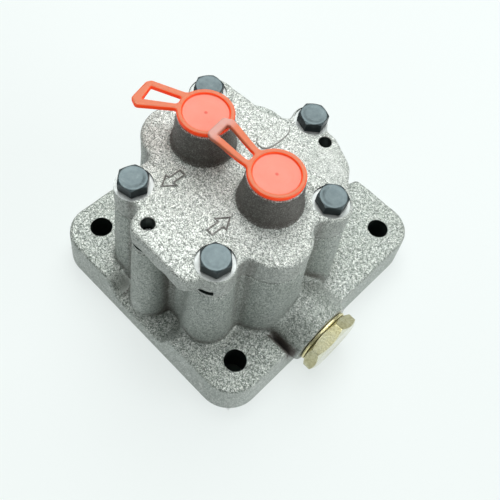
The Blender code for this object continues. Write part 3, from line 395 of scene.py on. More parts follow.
def body_outline(x, y):
    first, last, _ = BODY_BARS[0]
    near = capsule(x, y, *first, *last)
    for first, last, blend in BODY_BARS[1:]:
        near = soft_min(near, capsule(x, y, *first, *last), blend)
    for cx, cy, radius in BOLT_LOBES:
        near = soft_min(near, np.hypot(x - cx, y - cy) - radius, BOLT_LOBE_BLEND)
    first, last, blend = NOTCH_BAR
    near = soft_min(near, capsule(x, y, *first, *last), blend)
    return soft_min(near, nearest(x, y, DOWELS[:1]) - DOWEL_LOBE_R, 4.5)


def cover_outline(x, y, z):
    """The body's outline, with a thinner lip between the two front lobes."""
    lip = capsule(x, y, *LIP_BAR[0], *LIP_BAR[1])
    return soft_min(body_outline(x, y), np.maximum(lip, LIP_Z - z), 1.5)


def uneven(x, y, z):
    """The slow waviness of a sand-cast skin."""
    wave = np.sin(0.31 * x + 1.1 * np.sin(0.13 * y) + 0.7) * np.sin(0.27 * y + 0.19 * z + 2.1)
    return 0.06 * wave + 0.05 * np.sin(0.55 * z + 0.21 * x + 1.3) * np.sin(0.49 * y + 0.23 * x)


def flange_field(x, y, z):
    corner = np.where((x < 0) & (y > 0), BACK_CORNER_R, FLANGE_CORNER_R)
    side = rounded_rectangle(x, y, FLANGE_HALF_X, FLANGE_HALF_Y, corner)
    side = side + FLANGE_DRAFT * np.clip(z / PAD_Z, 0, 1)
    lean = 3.0 * (1 - 2 * np.clip((z - WEB_Z) / (PAD_Z - WEB_Z), 0, 1))
    in_x = np.minimum(x - PAD_GAP_X[0], PAD_GAP_X[1] - x) - lean
    in_y = np.minimum(y - PAD_GAP_Y[0], PAD_GAP_Y[1] - y) - 0.3 * lean
    pads = soft_max(soft_max(in_x, in_y, 3.0), z - PAD_Z, 2.6)
    top = soft_min(pads, z - WEB_Z, 4.5)
    return soft_max(top, side, 1.3)


def boss_field(x, y, z):
    side = np.hypot(y - PORT_Y, z - RELIEF_Z) - RELIEF_BOSS_R - (RELIEF_END_X - x) * 0.012
    return soft_max(np.maximum(side, 14.0 - x), x - RELIEF_END_X, 1.4)


def body_shell(x, y, z):
    wall = body_outline(x, y) - (BODY_TOP_Z - z) * CAST_SLOPE
    wall = soft_max(wall, z - BODY_TOP_Z - 0.5, 1.6)
    near = soft_min(flange_field(x, y, z), wall, 2.4)
    near = soft_min(near, boss_field(x, y, z), 4.2)
    return near + uneven(x, y, z) * smooth_step(z, 0.0, 6.0) * smooth_step(-z, -70.4, -66.0)


def body_field(x, y, z):
    near = body_shell(x, y, z)
    near = bored(near, nearest(x, y, SHAFTS), CAVITY_R, CAVITY_Z - z)
    near = bored(near, nearest(x, y, SHAFTS), BUSH_BORE_R, BUSH_FLOOR_Z - z)
    for cx, cy in PORTS:
        side = math.copysign(1.0, cx)
        aside = np.maximum(np.maximum(side * (x - cx), -side * x), 0)
        near = bored(near, np.hypot(aside, y - cy), PORT_ROOM_R, PORT_ROOM_Z - z)
    for radius, end in RELIEF_BORES:
        near = bored(near, np.hypot(y - PORT_Y, z - RELIEF_Z), radius, end - x)
    near = bored(near, nearest(x, y, BOLTS), BOLT_HOLE_R, BOLT_HOLE_Z - z)
    near = bored(near, nearest(x, y, DOWELS), DOWEL_HOLE_R, DOWEL_HOLE_Z - z)
    # The skin closes a little past the flat cuts that follow
    return np.maximum(near, np.maximum(-1.8 - z, z - BODY_TOP_Z - 1.8))


def cover_shell(x, y, z):
    side = cover_outline(x, y, z) + (z - COVER_Z) * 0.007 + uneven(x, y, z)
    # A faint step runs from the back bolt past the oval pad to the right port
    bend = smooth_step(capsule(x, y, 3.0, 45.0, 17.0, -12.0, 8.0, 17.5), -0.8, 0.8)
    top = z - COVER_TOP_Z + 0.3 * bend * smooth_step(y, 12.0, 17.0) * smooth_step(x, -2.0, 2.0)
    near = soft_max(soft_max(side, top, 1.7), COVER_Z - 0.5 - z, 1.6)
    for cx, cy in PORTS:
        off = np.hypot(x - cx, y - cy) - PORT_BOSS_R - (PORT_BOSS_TOP_Z - z) * PORT_BOSS_TAPER
        boss = soft_max(off, z - PORT_BOSS_TOP_Z, 1.0)
        near = soft_min(near, boss, 3.6)
    return near


def cover_field(x, y, z):
    near = bored(cover_shell(x, y, z), nearest(x, y, SHAFTS), BUSH_BORE_R, z - BUSH_TOP_Z)
    power = 1 / SEAL_POWER
    ring = ((np.abs(x + 1.0) / SEAL_HALF_X) ** power + (np.abs(y - PORT_Y) / SEAL_HALF_Y) ** power) ** SEAL_POWER
    track = np.abs(ring - 1) * 33.5 - SEAL_GROOVE_W / 2
    track = np.maximum(track, np.maximum(body_outline(x, y) + 2.0, COVER_Z - 0.7 - z))
    near = np.maximum(near, -np.maximum(track, z - COVER_Z - SEAL_GROOVE_H))
    return np.maximum(near, COVER_Z - 1.5 - z)


def cap_field(cx, loop):
    turn, reach, rise, path = loop
    towards = math.radians(turn)

    def field(x, y, z):
        r = np.hypot(x - cx, y - PORT_Y)
        u, v = along_across(x, y, cx, PORT_Y, towards)
        bar = np.full(np.broadcast(u, v).shape, 99.0)
        for a, b in zip(path, path[1:]):
            bar = np.minimum(bar, capsule(u, v, *a, *b))
        plan = soft_min(r - CAP_R, bar, 1.6)
        level = (CAP_Z + CAP_TOP_Z) / 2 + rise * smooth_step(u, 12.5, reach - 3.0)
        slab = np.abs(z - level) - LOOP_T / 2
        side = plan + CAP_EASE
        flat = slab + CAP_EASE
        solid = np.hypot(np.maximum(side, 0), np.maximum(flat, 0)) + np.minimum(np.maximum(side, flat), 0) - CAP_EASE
        floor = CAP_FLOOR_Z
        for radius, width, height in CAP_RINGS:
            floor = floor + height * np.exp(-((r - radius) / width) ** 2)
        sunk = np.maximum(r - CAP_RECESS_R - (z - CAP_FLOOR_Z) * 0.2, floor - z)
        solid = soft_max(solid, -sunk, 0.7)
        outside = r - (CAP_TUBE_R - 0.85 * (CAP_Z - z) / (CAP_Z - CAP_FOOT_Z))
        tube = np.maximum(soft_max(outside, CAP_FOOT_Z - z, 0.6), np.maximum(CAP_TUBE_BORE_R - r, z - CAP_Z - 0.4))
        plate = np.maximum(r - CAP_PLATE_R, np.maximum(CAP_PLATE_Z - z, z - CAP_Z - 0.4))
        return np.minimum(solid, np.minimum(tube, plate))

    return field


def skin(name, field, low, high, step, material):
    """The surface where a field crosses zero, as near-square faces."""
    axes = [np.arange(a, b + step, step) for a, b in zip(low, high)]
    x = axes[0][:, None, None]
    y = axes[1][None, :, None]
    z = axes[2][None, None, :]
    value = np.broadcast_to(field(x, y, z), [len(a) for a in axes]).astype(np.float64)
    inside = value < 0
    nx, ny, nz = value.shape
    total = np.zeros((nx - 1, ny - 1, nz - 1), dtype=np.int8)
    corners = [(i, j, k) for i in (0, 1) for j in (0, 1) for k in (0, 1)]
    for i, j, k in corners:
        total += inside[i:nx - 1 + i, j:ny - 1 + j, k:nz - 1 + k]
    active = (total > 0) & (total < 8)
    cells = np.argwhere(active)
    index = np.full(active.shape, -1, dtype=np.int64)
    index[active] = np.arange(len(cells))
    place = np.zeros((len(cells), 3))
    hits = np.zeros(len(cells))
    for axis in range(3):
        others = [a for a in range(3) if a != axis]
        for first in (0, 1):
            for second in (0, 1):
                start = np.zeros(3, dtype=int)
                start[others[0]] = first
                start[others[1]] = second
                end = start.copy()
                end[axis] = 1
                a = value[tuple((cells + start).T)]
                b = value[tuple((cells + end).T)]
                crosses = (a < 0) != (b < 0)
                share = np.where(crosses, a / np.where(crosses, a - b, 1), 0)
                at = np.tile(start.astype(float), (len(cells), 1))
                at[:, axis] = share
                place += np.where(crosses[:, None], at, 0)
                hits += crosses
    points = (cells + place / hits[:, None]) * step + np.array(low)
    faces = []
    for axis in range(3):
        one, two = [a for a in range(3) if a != axis]
        size = [nx, ny, nz]
        cut = [slice(1, n - 1) for n in size]
        cut[axis] = slice(0, size[axis] - 1)
        ahead = list(cut)
        ahead[axis] = slice(1, size[axis])
        a = inside[tuple(cut)]
        b = inside[tuple(ahead)]
        edges = np.argwhere(a != b)
        offset = np.array([1, 1, 1])
        offset[axis] = 0
        edges = edges + offset
        around = []
        for first, second in ((-1, -1), (0, -1), (0, 0), (-1, 0)):
            cell = edges.copy()
            cell[:, one] += first
            cell[:, two] += second
            around.append(index[tuple(cell.T)])
        faces.append(np.stack(around, axis=1))
    quads = np.concatenate(faces)
    return new_object(name, points, quads.tolist(), material)


def mesh_arrays(mesh):
    """Vertex places and normals in millimetres of the flange frame."""
    co = np.zeros(len(mesh.vertices) * 3)
    mesh.vertices.foreach_get("co", co)
    co = co.reshape(-1, 3) / MM
    co[:, 0] -= SHIFT_X
    normal = np.array([tuple(v.vector) for v in mesh.vertex_normals])
    return co, normal


def whole(x, y, z):
    """Both castings without their bores, to find what is sheltered."""
    return np.minimum(np.maximum(body_shell(x, y, z), z - BODY_TOP_Z), np.maximum(cover_shell(x, y, z), COVER_Z - z))


def add_shelter(obj):
    """Stores how sheltered and how exposed each point of a casting is, and how far it faces up."""
    co, normal = mesh_arrays(obj.data)
    hollow = np.zeros(len(co))
    for reach in (2.5, 6.0, 14.0):
        at = co + normal * reach
        hollow += np.clip(1 - whole(at[:, 0], at[:, 1], at[:, 2]) / reach, 0, 1) / 3
    at = co - normal * 1.6
    edge = np.clip(1 + whole(at[:, 0], at[:, 1], at[:, 2]) / 1.6, 0, 1)
    for name, values in (("hollow", hollow), ("edge", edge), ("upward", normal[:, 2])):
        store = obj.data.attributes.new(name, "FLOAT", "POINT")
        store.data.foreach_set("value", values.astype(np.float32))


def paint(obj, material, chosen):
    """Gives another material to the faces whose centre and normal pass the test."""
    mesh = obj.data
    count = len(mesh.polygons)
    centre = np.zeros(count * 3)
    normal = np.zeros(count * 3)
    mesh.polygons.foreach_get("center", centre)
    mesh.polygons.foreach_get("normal", normal)
    centre = centre.reshape(-1, 3) / MM
    centre[:, 0] -= SHIFT_X
    picked = chosen(centre[:, 0], centre[:, 1], centre[:, 2], normal.reshape(-1, 3))
    mesh.materials.append(material)
    index = np.zeros(count, dtype=np.int32)
    mesh.polygons.foreach_get("material_index", index)
    index[picked] = len(mesh.materials) - 1
    mesh.polygons.foreach_set("material_index", index)


# Materials

WHITE = (1.0, 1.0, 1.0)
# The colour of the painted shade in hollows, corners and the feet of walls
PAINTED_SHADE = (0.095, 0.075, 0.065)


def start_material(name, roughness, metallic):
    material = bpy.data.materials.new(name)
    material.use_nodes = True
    tree = material.node_tree
    shader = tree.nodes["Principled BSDF"]
    shader.inputs["Roughness"].default_value = roughness
    shader.inputs["Metallic"].default_value = metallic
    place = tree.nodes.new("ShaderNodeTexCoord").outputs["Object"]
    return material, tree, shader, place


def noise(tree, place, scale, detail=2.0, roughness=0.5):
    node = tree.nodes.new("ShaderNodeTexNoise")
    node.inputs["Scale"].default_value = scale
    node.inputs["Detail"].default_value = detail
    node.inputs["Roughness"].default_value = roughness
    tree.links.new(place, node.inputs["Vector"])
    return node.outputs[0]


def stretched(tree, place, factors):
    node = tree.nodes.new("ShaderNodeMapping")
    node.inputs["Scale"].default_value = factors
    tree.links.new(place, node.inputs["Vector"])
    return node.outputs[0]


def ramp(tree, value, stops):
    node = tree.nodes.new("ShaderNodeValToRGB")
    marks = node.color_ramp.elements
    while len(marks) < len(stops):
        marks.new(0.5)
    for mark, (at, colour) in zip(marks, stops):
        mark.position = at
        mark.color = (*colour, 1.0)
    tree.links.new(value, node.inputs["Fac"])
    return node.outputs["Color"]


def feed(tree, socket, value):
    """Links a socket to another, or sets it to a number or a colour."""
    if isinstance(value, bpy.types.NodeSocket):
        tree.links.new(value, socket)
    else:
        socket.default_value = (*value, 1.0) if isinstance(value, tuple) else value


def blend_colour(tree, amount, first, second, mode="MIX"):
    node = tree.nodes.new("ShaderNodeMix")
    node.data_type = "RGBA"
    node.blend_type = mode
    feed(tree, node.inputs[0], amount)
    feed(tree, node.inputs[6], first)
    feed(tree, node.inputs[7], second)
    return node.outputs[2]


def to_range(tree, value, low, high, new_low=0.0, new_high=1.0):
    node = tree.nodes.new("ShaderNodeMapRange")
    node.inputs["From Min"].default_value = low
    node.inputs["From Max"].default_value = high
    node.inputs["To Min"].default_value = new_low
    node.inputs["To Max"].default_value = new_high
    tree.links.new(value, node.inputs["Value"])
    return node.outputs["Result"]


def arithmetic(tree, operation, first, second):
    node = tree.nodes.new("ShaderNodeMath")
    node.operation = operation
    feed(tree, node.inputs[0], first)
    feed(tree, node.inputs[1], second)
    return node.outputs[0]


def vector_math(tree, operation, first, second=(0.0, 0.0, 0.0)):
    node = tree.nodes.new("ShaderNodeVectorMath")
    node.operation = operation
    tree.links.new(first, node.inputs[0])
    node.inputs[1].default_value = second
    return node.outputs["Value" if operation in ("LENGTH", "DOT_PRODUCT") else "Vector"]


def dress(tree, shader, colour, rough, height, depth, strength):
    """Links a colour, a roughness given as to_range takes it, and a fine relief of a depth in millimetres."""
    tree.links.new(colour, shader.inputs["Base Color"])
    tree.links.new(to_range(tree, *rough), shader.inputs["Roughness"])
    node = tree.nodes.new("ShaderNodeBump")
    node.inputs["Strength"].default_value = strength
    node.inputs["Distance"].default_value = depth * MM
    tree.links.new(height, node.inputs["Height"])
    tree.links.new(node.outputs["Normal"], shader.inputs["Normal"])


def attribute(tree, name):
    node = tree.nodes.new("ShaderNodeAttribute")
    node.attribute_name = name
    return node.outputs["Fac"]


def cast_iron(name, grains, upright, sheltered=PAINTED_SHADE, shine=0.35, spark=(0.94, 0.95, 0.92)):
    """Blasted iron: a fine sparkle of dark pits and bright grains over slow changes of tone, the brightest grains
    painted as glints, with painted shade darkening the hollows towards the sheltered colour.
    """
    dark, middle, light = grains
    material, tree, shader, place = start_material(name, 0.5, shine)
    grain = noise(tree, place, 2250.0, 2.5, 0.62)
    coarse = noise(tree, place, 640.0, 2.0, 0.5)
    slow = noise(tree, place, 38.0, 3.0, 0.55)
    grain = arithmetic(tree, "MULTIPLY", grain, 0.8)
    both = arithmetic(tree, "ADD", grain, arithmetic(tree, "MULTIPLY", coarse, 0.2))
    # The brightest grains are near white: a painted glint of the blasted facets
    colour = ramp(tree, both, ((0.395, dark), (0.475, middle), (0.545, light), (0.61, spark)))
    tone = ramp(tree, slow, ((0.3, (0.86, 0.87, 0.85)), (0.7, WHITE)))
    colour = blend_colour(tree, 1.0, colour, tone, "MULTIPLY")
    # The walls are smoother and duller than the faces that look up; on the port bosses this wall colour is a painted
    # shade, and on the step by the front left pad it is a painted light
    upward = attribute(tree, "upward")
    colour = blend_colour(tree, to_range(tree, upward, 0.1, 0.4, 0.42, 0.0), colour, upright)
    # Painted shade: the more sheltered a point is, the more it is darkened towards the sheltered colour, less where
    # it faces up
    hollow = attribute(tree, "hollow")
    painted_shade_amount = to_range(tree, hollow, 0.22, 0.64, 0.0, 0.95)
    painted_shade_amount = arithmetic(tree, "MULTIPLY", painted_shade_amount, to_range(tree, upward, 0.15, 0.45, 1.0, 0.2))
    painted_shade_amount = arithmetic(tree, "MAXIMUM", painted_shade_amount, to_range(tree, hollow, 0.5, 0.72, 0.0, 0.8))
    colour = blend_colour(tree, painted_shade_amount, colour, sheltered)
    rim = to_range(tree, attribute(tree, "edge"), 0.35, 0.8, 0.0, 0.35)
    colour = blend_colour(tree, rim, colour, (0.80, 0.81, 0.78))
    dress(tree, shader, colour, (both, 0.35, 0.65, 0.72, 0.36), both, 0.32, 0.85)
    return material


def machined(name, colour, lighter, roughness, marks=(900.0, 900.0, 60.0)):
    """A turned or milled face, with fine tool marks."""
    material, tree, shader, place = start_material(name, roughness, 0.75)
    lines = noise(tree, stretched(tree, place, marks), 1.0, 2.0, 0.5)
    blots = noise(tree, place, 160.0, 2.0, 0.5)
    shade = blend_colour(tree, blots, colour, lighter)
    scored = ramp(tree, lines, ((0.3, (0.88, 0.88, 0.88)), (0.7, WHITE)))
    shade = blend_colour(tree, 1.0, shade, scored, "MULTIPLY")
    dress(tree, shader, shade, (lines, 0.3, 0.7, roughness - 0.08, roughness + 0.1), lines, 0.03, 0.5)
    return material


def metal(name, colour, darker, roughness):
    """Plated, ground or drawn metal, with a faint mottle."""
    material, tree, shader, place = start_material(name, roughness, 0.9)
    mottle = noise(tree, place, 260.0, 3.0, 0.6)
    fine = noise(tree, place, 700.0, 2.0, 0.6)
    shade = ramp(tree, mottle, ((0.32, darker), (0.66, colour)))
    dress(tree, shader, shade, (fine, 0.3, 0.7, roughness - 0.07, roughness + 0.12), fine, 0.02, 0.6)
    return material


def bolt_metal(name, deep, middle, pale):
    """Blued steel under a thin film of oil."""
    material, tree, shader, place = start_material(name, 0.34, 0.82)
    mottle = noise(tree, place, 330.0, 3.0, 0.65)
    fine = noise(tree, place, 1500.0, 2.0, 0.6)
    shade = ramp(tree, mottle, ((0.3, deep), (0.62, middle), (0.8, pale)))
    dress(tree, shader, shade, (mottle, 0.3, 0.7, 0.28, 0.46), fine, 0.02, 0.6)
    return material


def zinc_plate(name, rough, smooth, sheen_paint):
    """Yellow passivated zinc: pale straw with a cool cast, and a slightly rough plated skin."""
    material, tree, shader, place = start_material(name, rough, 0.85)
    slow = noise(tree, place, 70.0, 2.0, 0.5)
    fine = noise(tree, place, 1100.0, 2.5, 0.6)
    shade = ramp(tree, slow, ((0.3, (0.50, 0.46, 0.25)), (0.5, (0.60, 0.57, 0.36)), (0.72, (0.66, 0.66, 0.49))))
    spark = ramp(tree, fine, ((0.36, (0.72, 0.70, 0.64)), (0.6, WHITE)))
    shade = blend_colour(tree, 1.0, shade, spark, "MULTIPLY")
    # Painted sheen: towards pale zinc by sheen_paint, which also softens the relief
    shade = blend_colour(tree, sheen_paint, shade, (0.86, 0.87, 0.78))
    dress(tree, shader, shade, (fine, 0.35, 0.65, rough, smooth), fine, 0.06, 0.6 - 0.4 * sheen_paint)
    return material


def red_plastic(name, centre_x, loop):
    """Glossy moulded plastic, paler in the recess for its thin skin and as a painted sheen, with a painted highlight
    at the tip of a raised loop.
    """
    material, tree, shader, place = start_material(name, 0.34, 0.0)
    turn, reach, rise, _ = loop
    from_axis = vector_math(tree, "SUBTRACT", place, ((centre_x + SHIFT_X) * MM, PORT_Y * MM, 0.0))
    r = vector_math(tree, "LENGTH", vector_math(tree, "MULTIPLY", from_axis, (1.0, 1.0, 0.0)))
    z = vector_math(tree, "DOT_PRODUCT", place, (0.0, 0.0, 1.0))
    flow = noise(tree, place, 110.0, 3.0, 0.6)
    fine = noise(tree, place, 900.0, 2.0, 0.6)
    base = blend_colour(tree, flow, (0.94, 0.045, 0.006), (0.90, 0.085, 0.018))
    top = to_range(tree, z, (CAP_TOP_Z - 0.3) * MM, (CAP_TOP_Z - 0.06) * MM)
    base = blend_colour(tree, top, base, (0.63, 0.165, 0.078))
    within = to_range(tree, r, (CAP_RECESS_R + 0.25) * MM, (CAP_RECESS_R - 0.25) * MM)
    above = to_range(tree, z, (CAP_FLOOR_Z - 0.7) * MM, (CAP_FLOOR_Z - 0.3) * MM)
    low_floor = to_range(tree, z, (CAP_FLOOR_Z + 0.5) * MM, (CAP_FLOOR_Z + 0.25) * MM)
    recess = arithmetic(tree, "MULTIPLY", arithmetic(tree, "MULTIPLY", within, above), low_floor)
    # The recess floor is paler, partly for its thin skin and partly as a painted sheen
    thin = blend_colour(tree, flow, (0.55, 0.19, 0.135), (0.6, 0.245, 0.19))
    base = blend_colour(tree, recess, base, thin)
    nib = arithmetic(tree, "MULTIPLY", to_range(tree, r, 0.95 * MM, 0.45 * MM, 0.0, 0.8), above)
    base = blend_colour(tree, nib, base, (0.50, 0.07, 0.06))
    # Painted highlight: the top of the raised loop's tip is blended towards pale pink
    if rise > 0:
        towards = math.radians(turn)
        along = vector_math(tree, "DOT_PRODUCT", from_axis, (math.cos(towards), math.sin(towards), 0.0))
        tip_highlight = to_range(tree, along, (reach - 7.5) * MM, (reach - 3.0) * MM, 0.0, 0.72)
        high = to_range(tree, z, (CAP_TOP_Z + 1.2) * MM, (CAP_TOP_Z + 2.6) * MM)
        tip_highlight = arithmetic(tree, "MULTIPLY", tip_highlight, high)
        tip_highlight = arithmetic(tree, "MULTIPLY", tip_highlight, to_range(tree, flow, 0.25, 0.6, 0.6, 1.0))
        base = blend_colour(tree, tip_highlight, base, (0.56, 0.37, 0.35))
    dress(tree, shader, base, (fine, 0.3, 0.7, 0.3, 0.42), fine, 0.02, 0.4)
    # A painted glow: the cap's sides below the rim top emit warm red, standing in for light passed through the thin
    # rim
    painted_glow = blend_colour(tree, top, (1.0, 0.06, 0.003), (0.0, 0.0, 0.0))
    tree.links.new(painted_glow, shader.inputs["Emission Color"])
    shader.inputs["Emission Strength"].default_value = 0.24
    shader.inputs["Specular IOR Level"].default_value = 0.22
    shader.inputs["Subsurface Weight"].default_value = 0.12
    shader.inputs["Subsurface Radius"].default_value = (0.004, 0.0012, 0.0006)
    shader.inputs["Subsurface Scale"].default_value = 0.5
    return material


def rubber():
    material, tree, shader, place = start_material("rubber_black", 0.7, 0.0)
    fine = noise(tree, place, 800.0, 3.0, 0.6)
    shade = ramp(tree, fine, ((0.3, (0.012, 0.012, 0.013)), (0.7, (0.032, 0.032, 0.033))))
    dress(tree, shader, shade, (fine, 0.3, 0.7, 0.58, 0.8), fine, 0.03, 0.6)
    return material


# Dark pits, plain skin and bright grains
BODY_GRAINS = ((0.075, 0.09, 0.08), (0.28, 0.31, 0.285), (0.53, 0.565, 0.525))
COVER_GRAINS = ((0.13, 0.14, 0.13), (0.36, 0.385, 0.36), (0.60, 0.62, 0.59))
PAINTED_SHADE_GRAINS = ((0.085, 0.08, 0.07), (0.125, 0.118, 0.108), (0.18, 0.17, 0.16))
STEP_PAINTED_LIGHT_GRAINS = ((0.14, 0.155, 0.14), (0.5, 0.54, 0.5), (0.86, 0.89, 0.85))
IRON = cast_iron("iron_body", BODY_GRAINS, (0.27, 0.30, 0.28))
FLANGE_IRON = cast_iron("iron_flange", BODY_GRAINS, (0.46, 0.49, 0.47))
COVER_IRON = cast_iron("iron_cover", COVER_GRAINS, (0.29, 0.31, 0.295))
# Painted shade: near-black iron for the port bosses' sides, the arrow ridges and the edge of the bare pad
PAINTED_SHADE_IRON = cast_iron("iron_painted_shade", PAINTED_SHADE_GRAINS, (0.115, 0.105, 0.095), PAINTED_SHADE, 0.3, (0.32, 0.31, 0.3))
# Painted light: the slope by the front left pad gets bright grains and a bright sheltered colour, though it faces
# away from the light
STEP_PAINTED_LIGHT_IRON = cast_iron("iron_step_painted_light", STEP_PAINTED_LIGHT_GRAINS, (0.5, 0.53, 0.5), (0.55, 0.58, 0.54))
CUT_IRON = machined("iron_machined", (0.50, 0.51, 0.50), (0.66, 0.67, 0.66), 0.34)
SEAT_IRON = machined("iron_seat", (0.40, 0.42, 0.415), (0.52, 0.54, 0.53), 0.5, (500.0, 500.0, 500.0))
# Painted shade: near-black iron inside the holes, bores, threads and pry slots
RECESS_PAINTED_SHADE_IRON = machined("iron_recess_painted_shade", (0.035, 0.05, 0.044), (0.075, 0.095, 0.085), 0.45, (60.0, 60.0, 1500.0))
BOLT = bolt_metal("bolt_blued", (0.055, 0.071, 0.076), (0.095, 0.12, 0.126), (0.15, 0.18, 0.188))
# Painted shade: a darker copy of the blued steel for the bolt heads' sides
BOLT_SIDE_PAINTED_SHADE = bolt_metal("bolt_side_painted_shade", (0.024, 0.033, 0.036), (0.042, 0.055, 0.058), (0.07, 0.088, 0.092))
ZINC = zinc_plate("zinc_yellow", 0.48, 0.24, 0.0)
# The turned end face is smoother, and paler as a painted sheen
END_ZINC_PAINTED_SHEEN = zinc_plate("zinc_turned_painted_sheen", 0.26, 0.14, 0.6)
WASHER = metal("washer_metal", (0.86, 0.80, 0.50), (0.72, 0.64, 0.34), 0.26)
SHAFT = metal("steel_ground", (0.66, 0.66, 0.67), (0.55, 0.55, 0.56), 0.24)
GEAR = metal("steel_gear", (0.58, 0.58, 0.59), (0.44, 0.44, 0.46), 0.3)
KEY = metal("steel_drawn", (0.46, 0.46, 0.47), (0.34, 0.34, 0.35), 0.34)
DOWEL = metal("steel_dowel", (0.86, 0.87, 0.87), (0.72, 0.73, 0.73), 0.3)
BRONZE = metal("bronze_bush", (0.66, 0.44, 0.21), (0.50, 0.31, 0.14), 0.36)
SPRING = metal("steel_spring", (0.40, 0.385, 0.37), (0.26, 0.25, 0.24), 0.32)
RUBBER = rubber()

FINISH = {
    "bush_bronze": BRONZE,
    "black_rubber": RUBBER,
    "spring_steel": SPRING,
    "shaft_steel": SHAFT,
    "gear_steel": GEAR,
    "key_steel": KEY,
}
for part in frame["record"]["subparts"]:
    finish = FINISH.get(part["material_slot"])
    if finish:
        for holder in nodes[part["node"]].material_slots:
            holder.material = finish
for number in (1, 2):
    for holder in nodes[f"dowel_pin_{number}"].material_slots:
        holder.material = DOWEL


# Castings

def pry_slot(cx, cy, turn, width, reach):
    """A cutter for the slot under the cover's edge, where a lever parts it from the body."""
    half = width / 2
    ring = rounded_polygon([(-half, -2.4), (half, -2.4), (half, reach), (-half, reach)], 0.8, 5)
    place = Matrix.Translation((cx, cy, 0)) @ Matrix.Rotation(turn, 4, "Z")
    return loft("pry_slot", [[(x, y, z) for x, y in ring] for z in (LIP_Z - PRY_SLOT_H, LIP_Z)], place=place)


def make_body():
    body = skin("body", body_field, (-70.6, -78.4, -3.3), (73.8, 78.6, 74.0), 0.9, IRON)
    cuts = [
        box_solid("above", (-90, -90, BODY_TOP_Z), (90, 90, BODY_TOP_Z + 12)),
        box_solid("below", (-90, -90, -12), (90, 90, 0)),
        revolve("drive_room", DRIVE_ROOM, 96),
    ]
    top = PAD_Z + 3
    wide = HOLE_R + 0.6
    profile = [(0, -14), (wide, -14), (wide, 0.0), (HOLE_R, 0.6), (HOLE_R, top), (0, top)]
    cuts.append(merged([revolve("hole", profile, 64, centre=centre) for centre in FLANGE_HOLES]))
    boolean(body, cuts)
    add_shelter(body)
    paint(body, CUT_IRON, on_machined_body)
    # The slope by the front left pad is painted lighter, as painted light
    paint(body, STEP_PAINTED_LIGHT_IRON, on_steps)
    paint(body, FLANGE_IRON, on_flange_sides)
    paint(body, RECESS_PAINTED_SHADE_IRON, in_bores)
    return piece(shaded(body), "body_casting", "pump", ["pump_body"])


def on_machined_body(x, y, z, n):
    return (z > BODY_TOP_Z - 0.02) | (z < 0.02) | ((x > RELIEF_END_X - 0.08) & (n[:, 0] > 0.97))


def on_steps(x, y, z, n):
    """The slope from the front left pad to the web beside it, which looks away from the light and is painted lighter,
    as painted light.
    """
    across = (x > PAD_GAP_X[0] - 5.0) & (x < PAD_GAP_X[0] + 6.0) & (n[:, 0] > 0.3)
    clear = (y < 0) & (body_outline(x, y) > 3.5)
    return across & clear & (z > WEB_Z + 0.8) & (z < PAD_Z - 0.6)


def on_flange_sides(x, y, z, n):
    side = rounded_rectangle(x, y, FLANGE_HALF_X, FLANGE_HALF_Y, FLANGE_CORNER_R)
    return (side > -4.0) & (z > 0.02) & (z < PAD_Z + 0.5) & (n[:, 2] < 0.6)


# Painted shade inside the flange holes, the drive room and the relief valve's bore
def in_bores(x, y, z, n):
    deep = (nearest(x, y, FLANGE_HOLES) < HOLE_R + 0.05) & (z < PAD_Z - 0.1)
    deep |= (np.hypot(x, y) < DRIVE_ROOM_R + 0.05) & (z < 30)
    off = np.hypot(y - PORT_Y, z - RELIEF_Z)
    return (deep & (z > 0.1)) | ((off < 10.6) & (x > 20) & (x < RELIEF_END_X - 0.2))


def port_thread(cx):
    """A cutter with the port's screw thread on its side."""
    turns = 72
    rings = [[(PORT_R, 60.0)] * turns, [(PORT_R, 86.2)] * turns, [(PORT_THREAD_R, 88.2)] * turns]
    start = 88.6
    top = PORT_BOSS_TOP_Z - 1.3
    count = int((top - start) / (PORT_THREAD_PITCH / 8))
    for level in range(count + 1):
        z = start + (top - start) * level / count
        fade = min(1.0, 4 * level / count, 6 * (count - level) / count)
        ring = []
        for k in range(turns):
            phase = (z / PORT_THREAD_PITCH - k / turns) % 1.0
            ring.append((PORT_THREAD_R + 0.62 * fade * (1 - abs(2 * phase - 1)), z))
        rings.append(ring)
    rings.append([(PORT_THREAD_R + 0.1, top + 0.05)] * turns)
    rings.append([(PORT_THREAD_R + 1.3, PORT_BOSS_TOP_Z + 0.02)] * turns)
    rings.append([(PORT_THREAD_R + 1.3, 112.0)] * turns)
    points = []
    for ring in rings:
        points.append([
            (cx + r * math.cos(2 * math.pi * k / turns), PORT_Y + r * math.sin(2 * math.pi * k / turns), z)
            for k, (r, z) in enumerate(ring)
        ])
    return loft("port", points)


def arrow_ridge(cx, cy, towards):
    """The raised outline of a flow arrow."""
    section = ((0.42, -0.6), (0.42, 0.2), (0.2, 0.5), (-0.2, 0.5), (-0.42, 0.2), (-0.42, -0.6))
    count = len(ARROW)
    points = []
    for i in range(count):
        here = Vector(ARROW[i])
        back = (here - Vector(ARROW[i - 1])).normalized()
        ahead = (Vector(ARROW[(i + 1) % count]) - here).normalized()
        side = Vector((back.y + ahead.y, -back.x - ahead.x))
        side = side / (1 + back.dot(ahead))
        for off, rise in section:
            points.append((here.x + side.x * off, here.y + side.y * off, COVER_TOP_Z + rise))
    wide = len(section)
    faces = []
    for i in range(count):
        j = (i + 1) % count
        for k in range(wide):
            m = (k + 1) % wide
            faces.append([i * wide + k, j * wide + k, j * wide + m, i * wide + m])
    place = Matrix.Translation((cx, cy, 0)) @ Matrix.Rotation(math.radians(towards), 4, "Z")
    return new_object("arrow", points, faces, place=place)


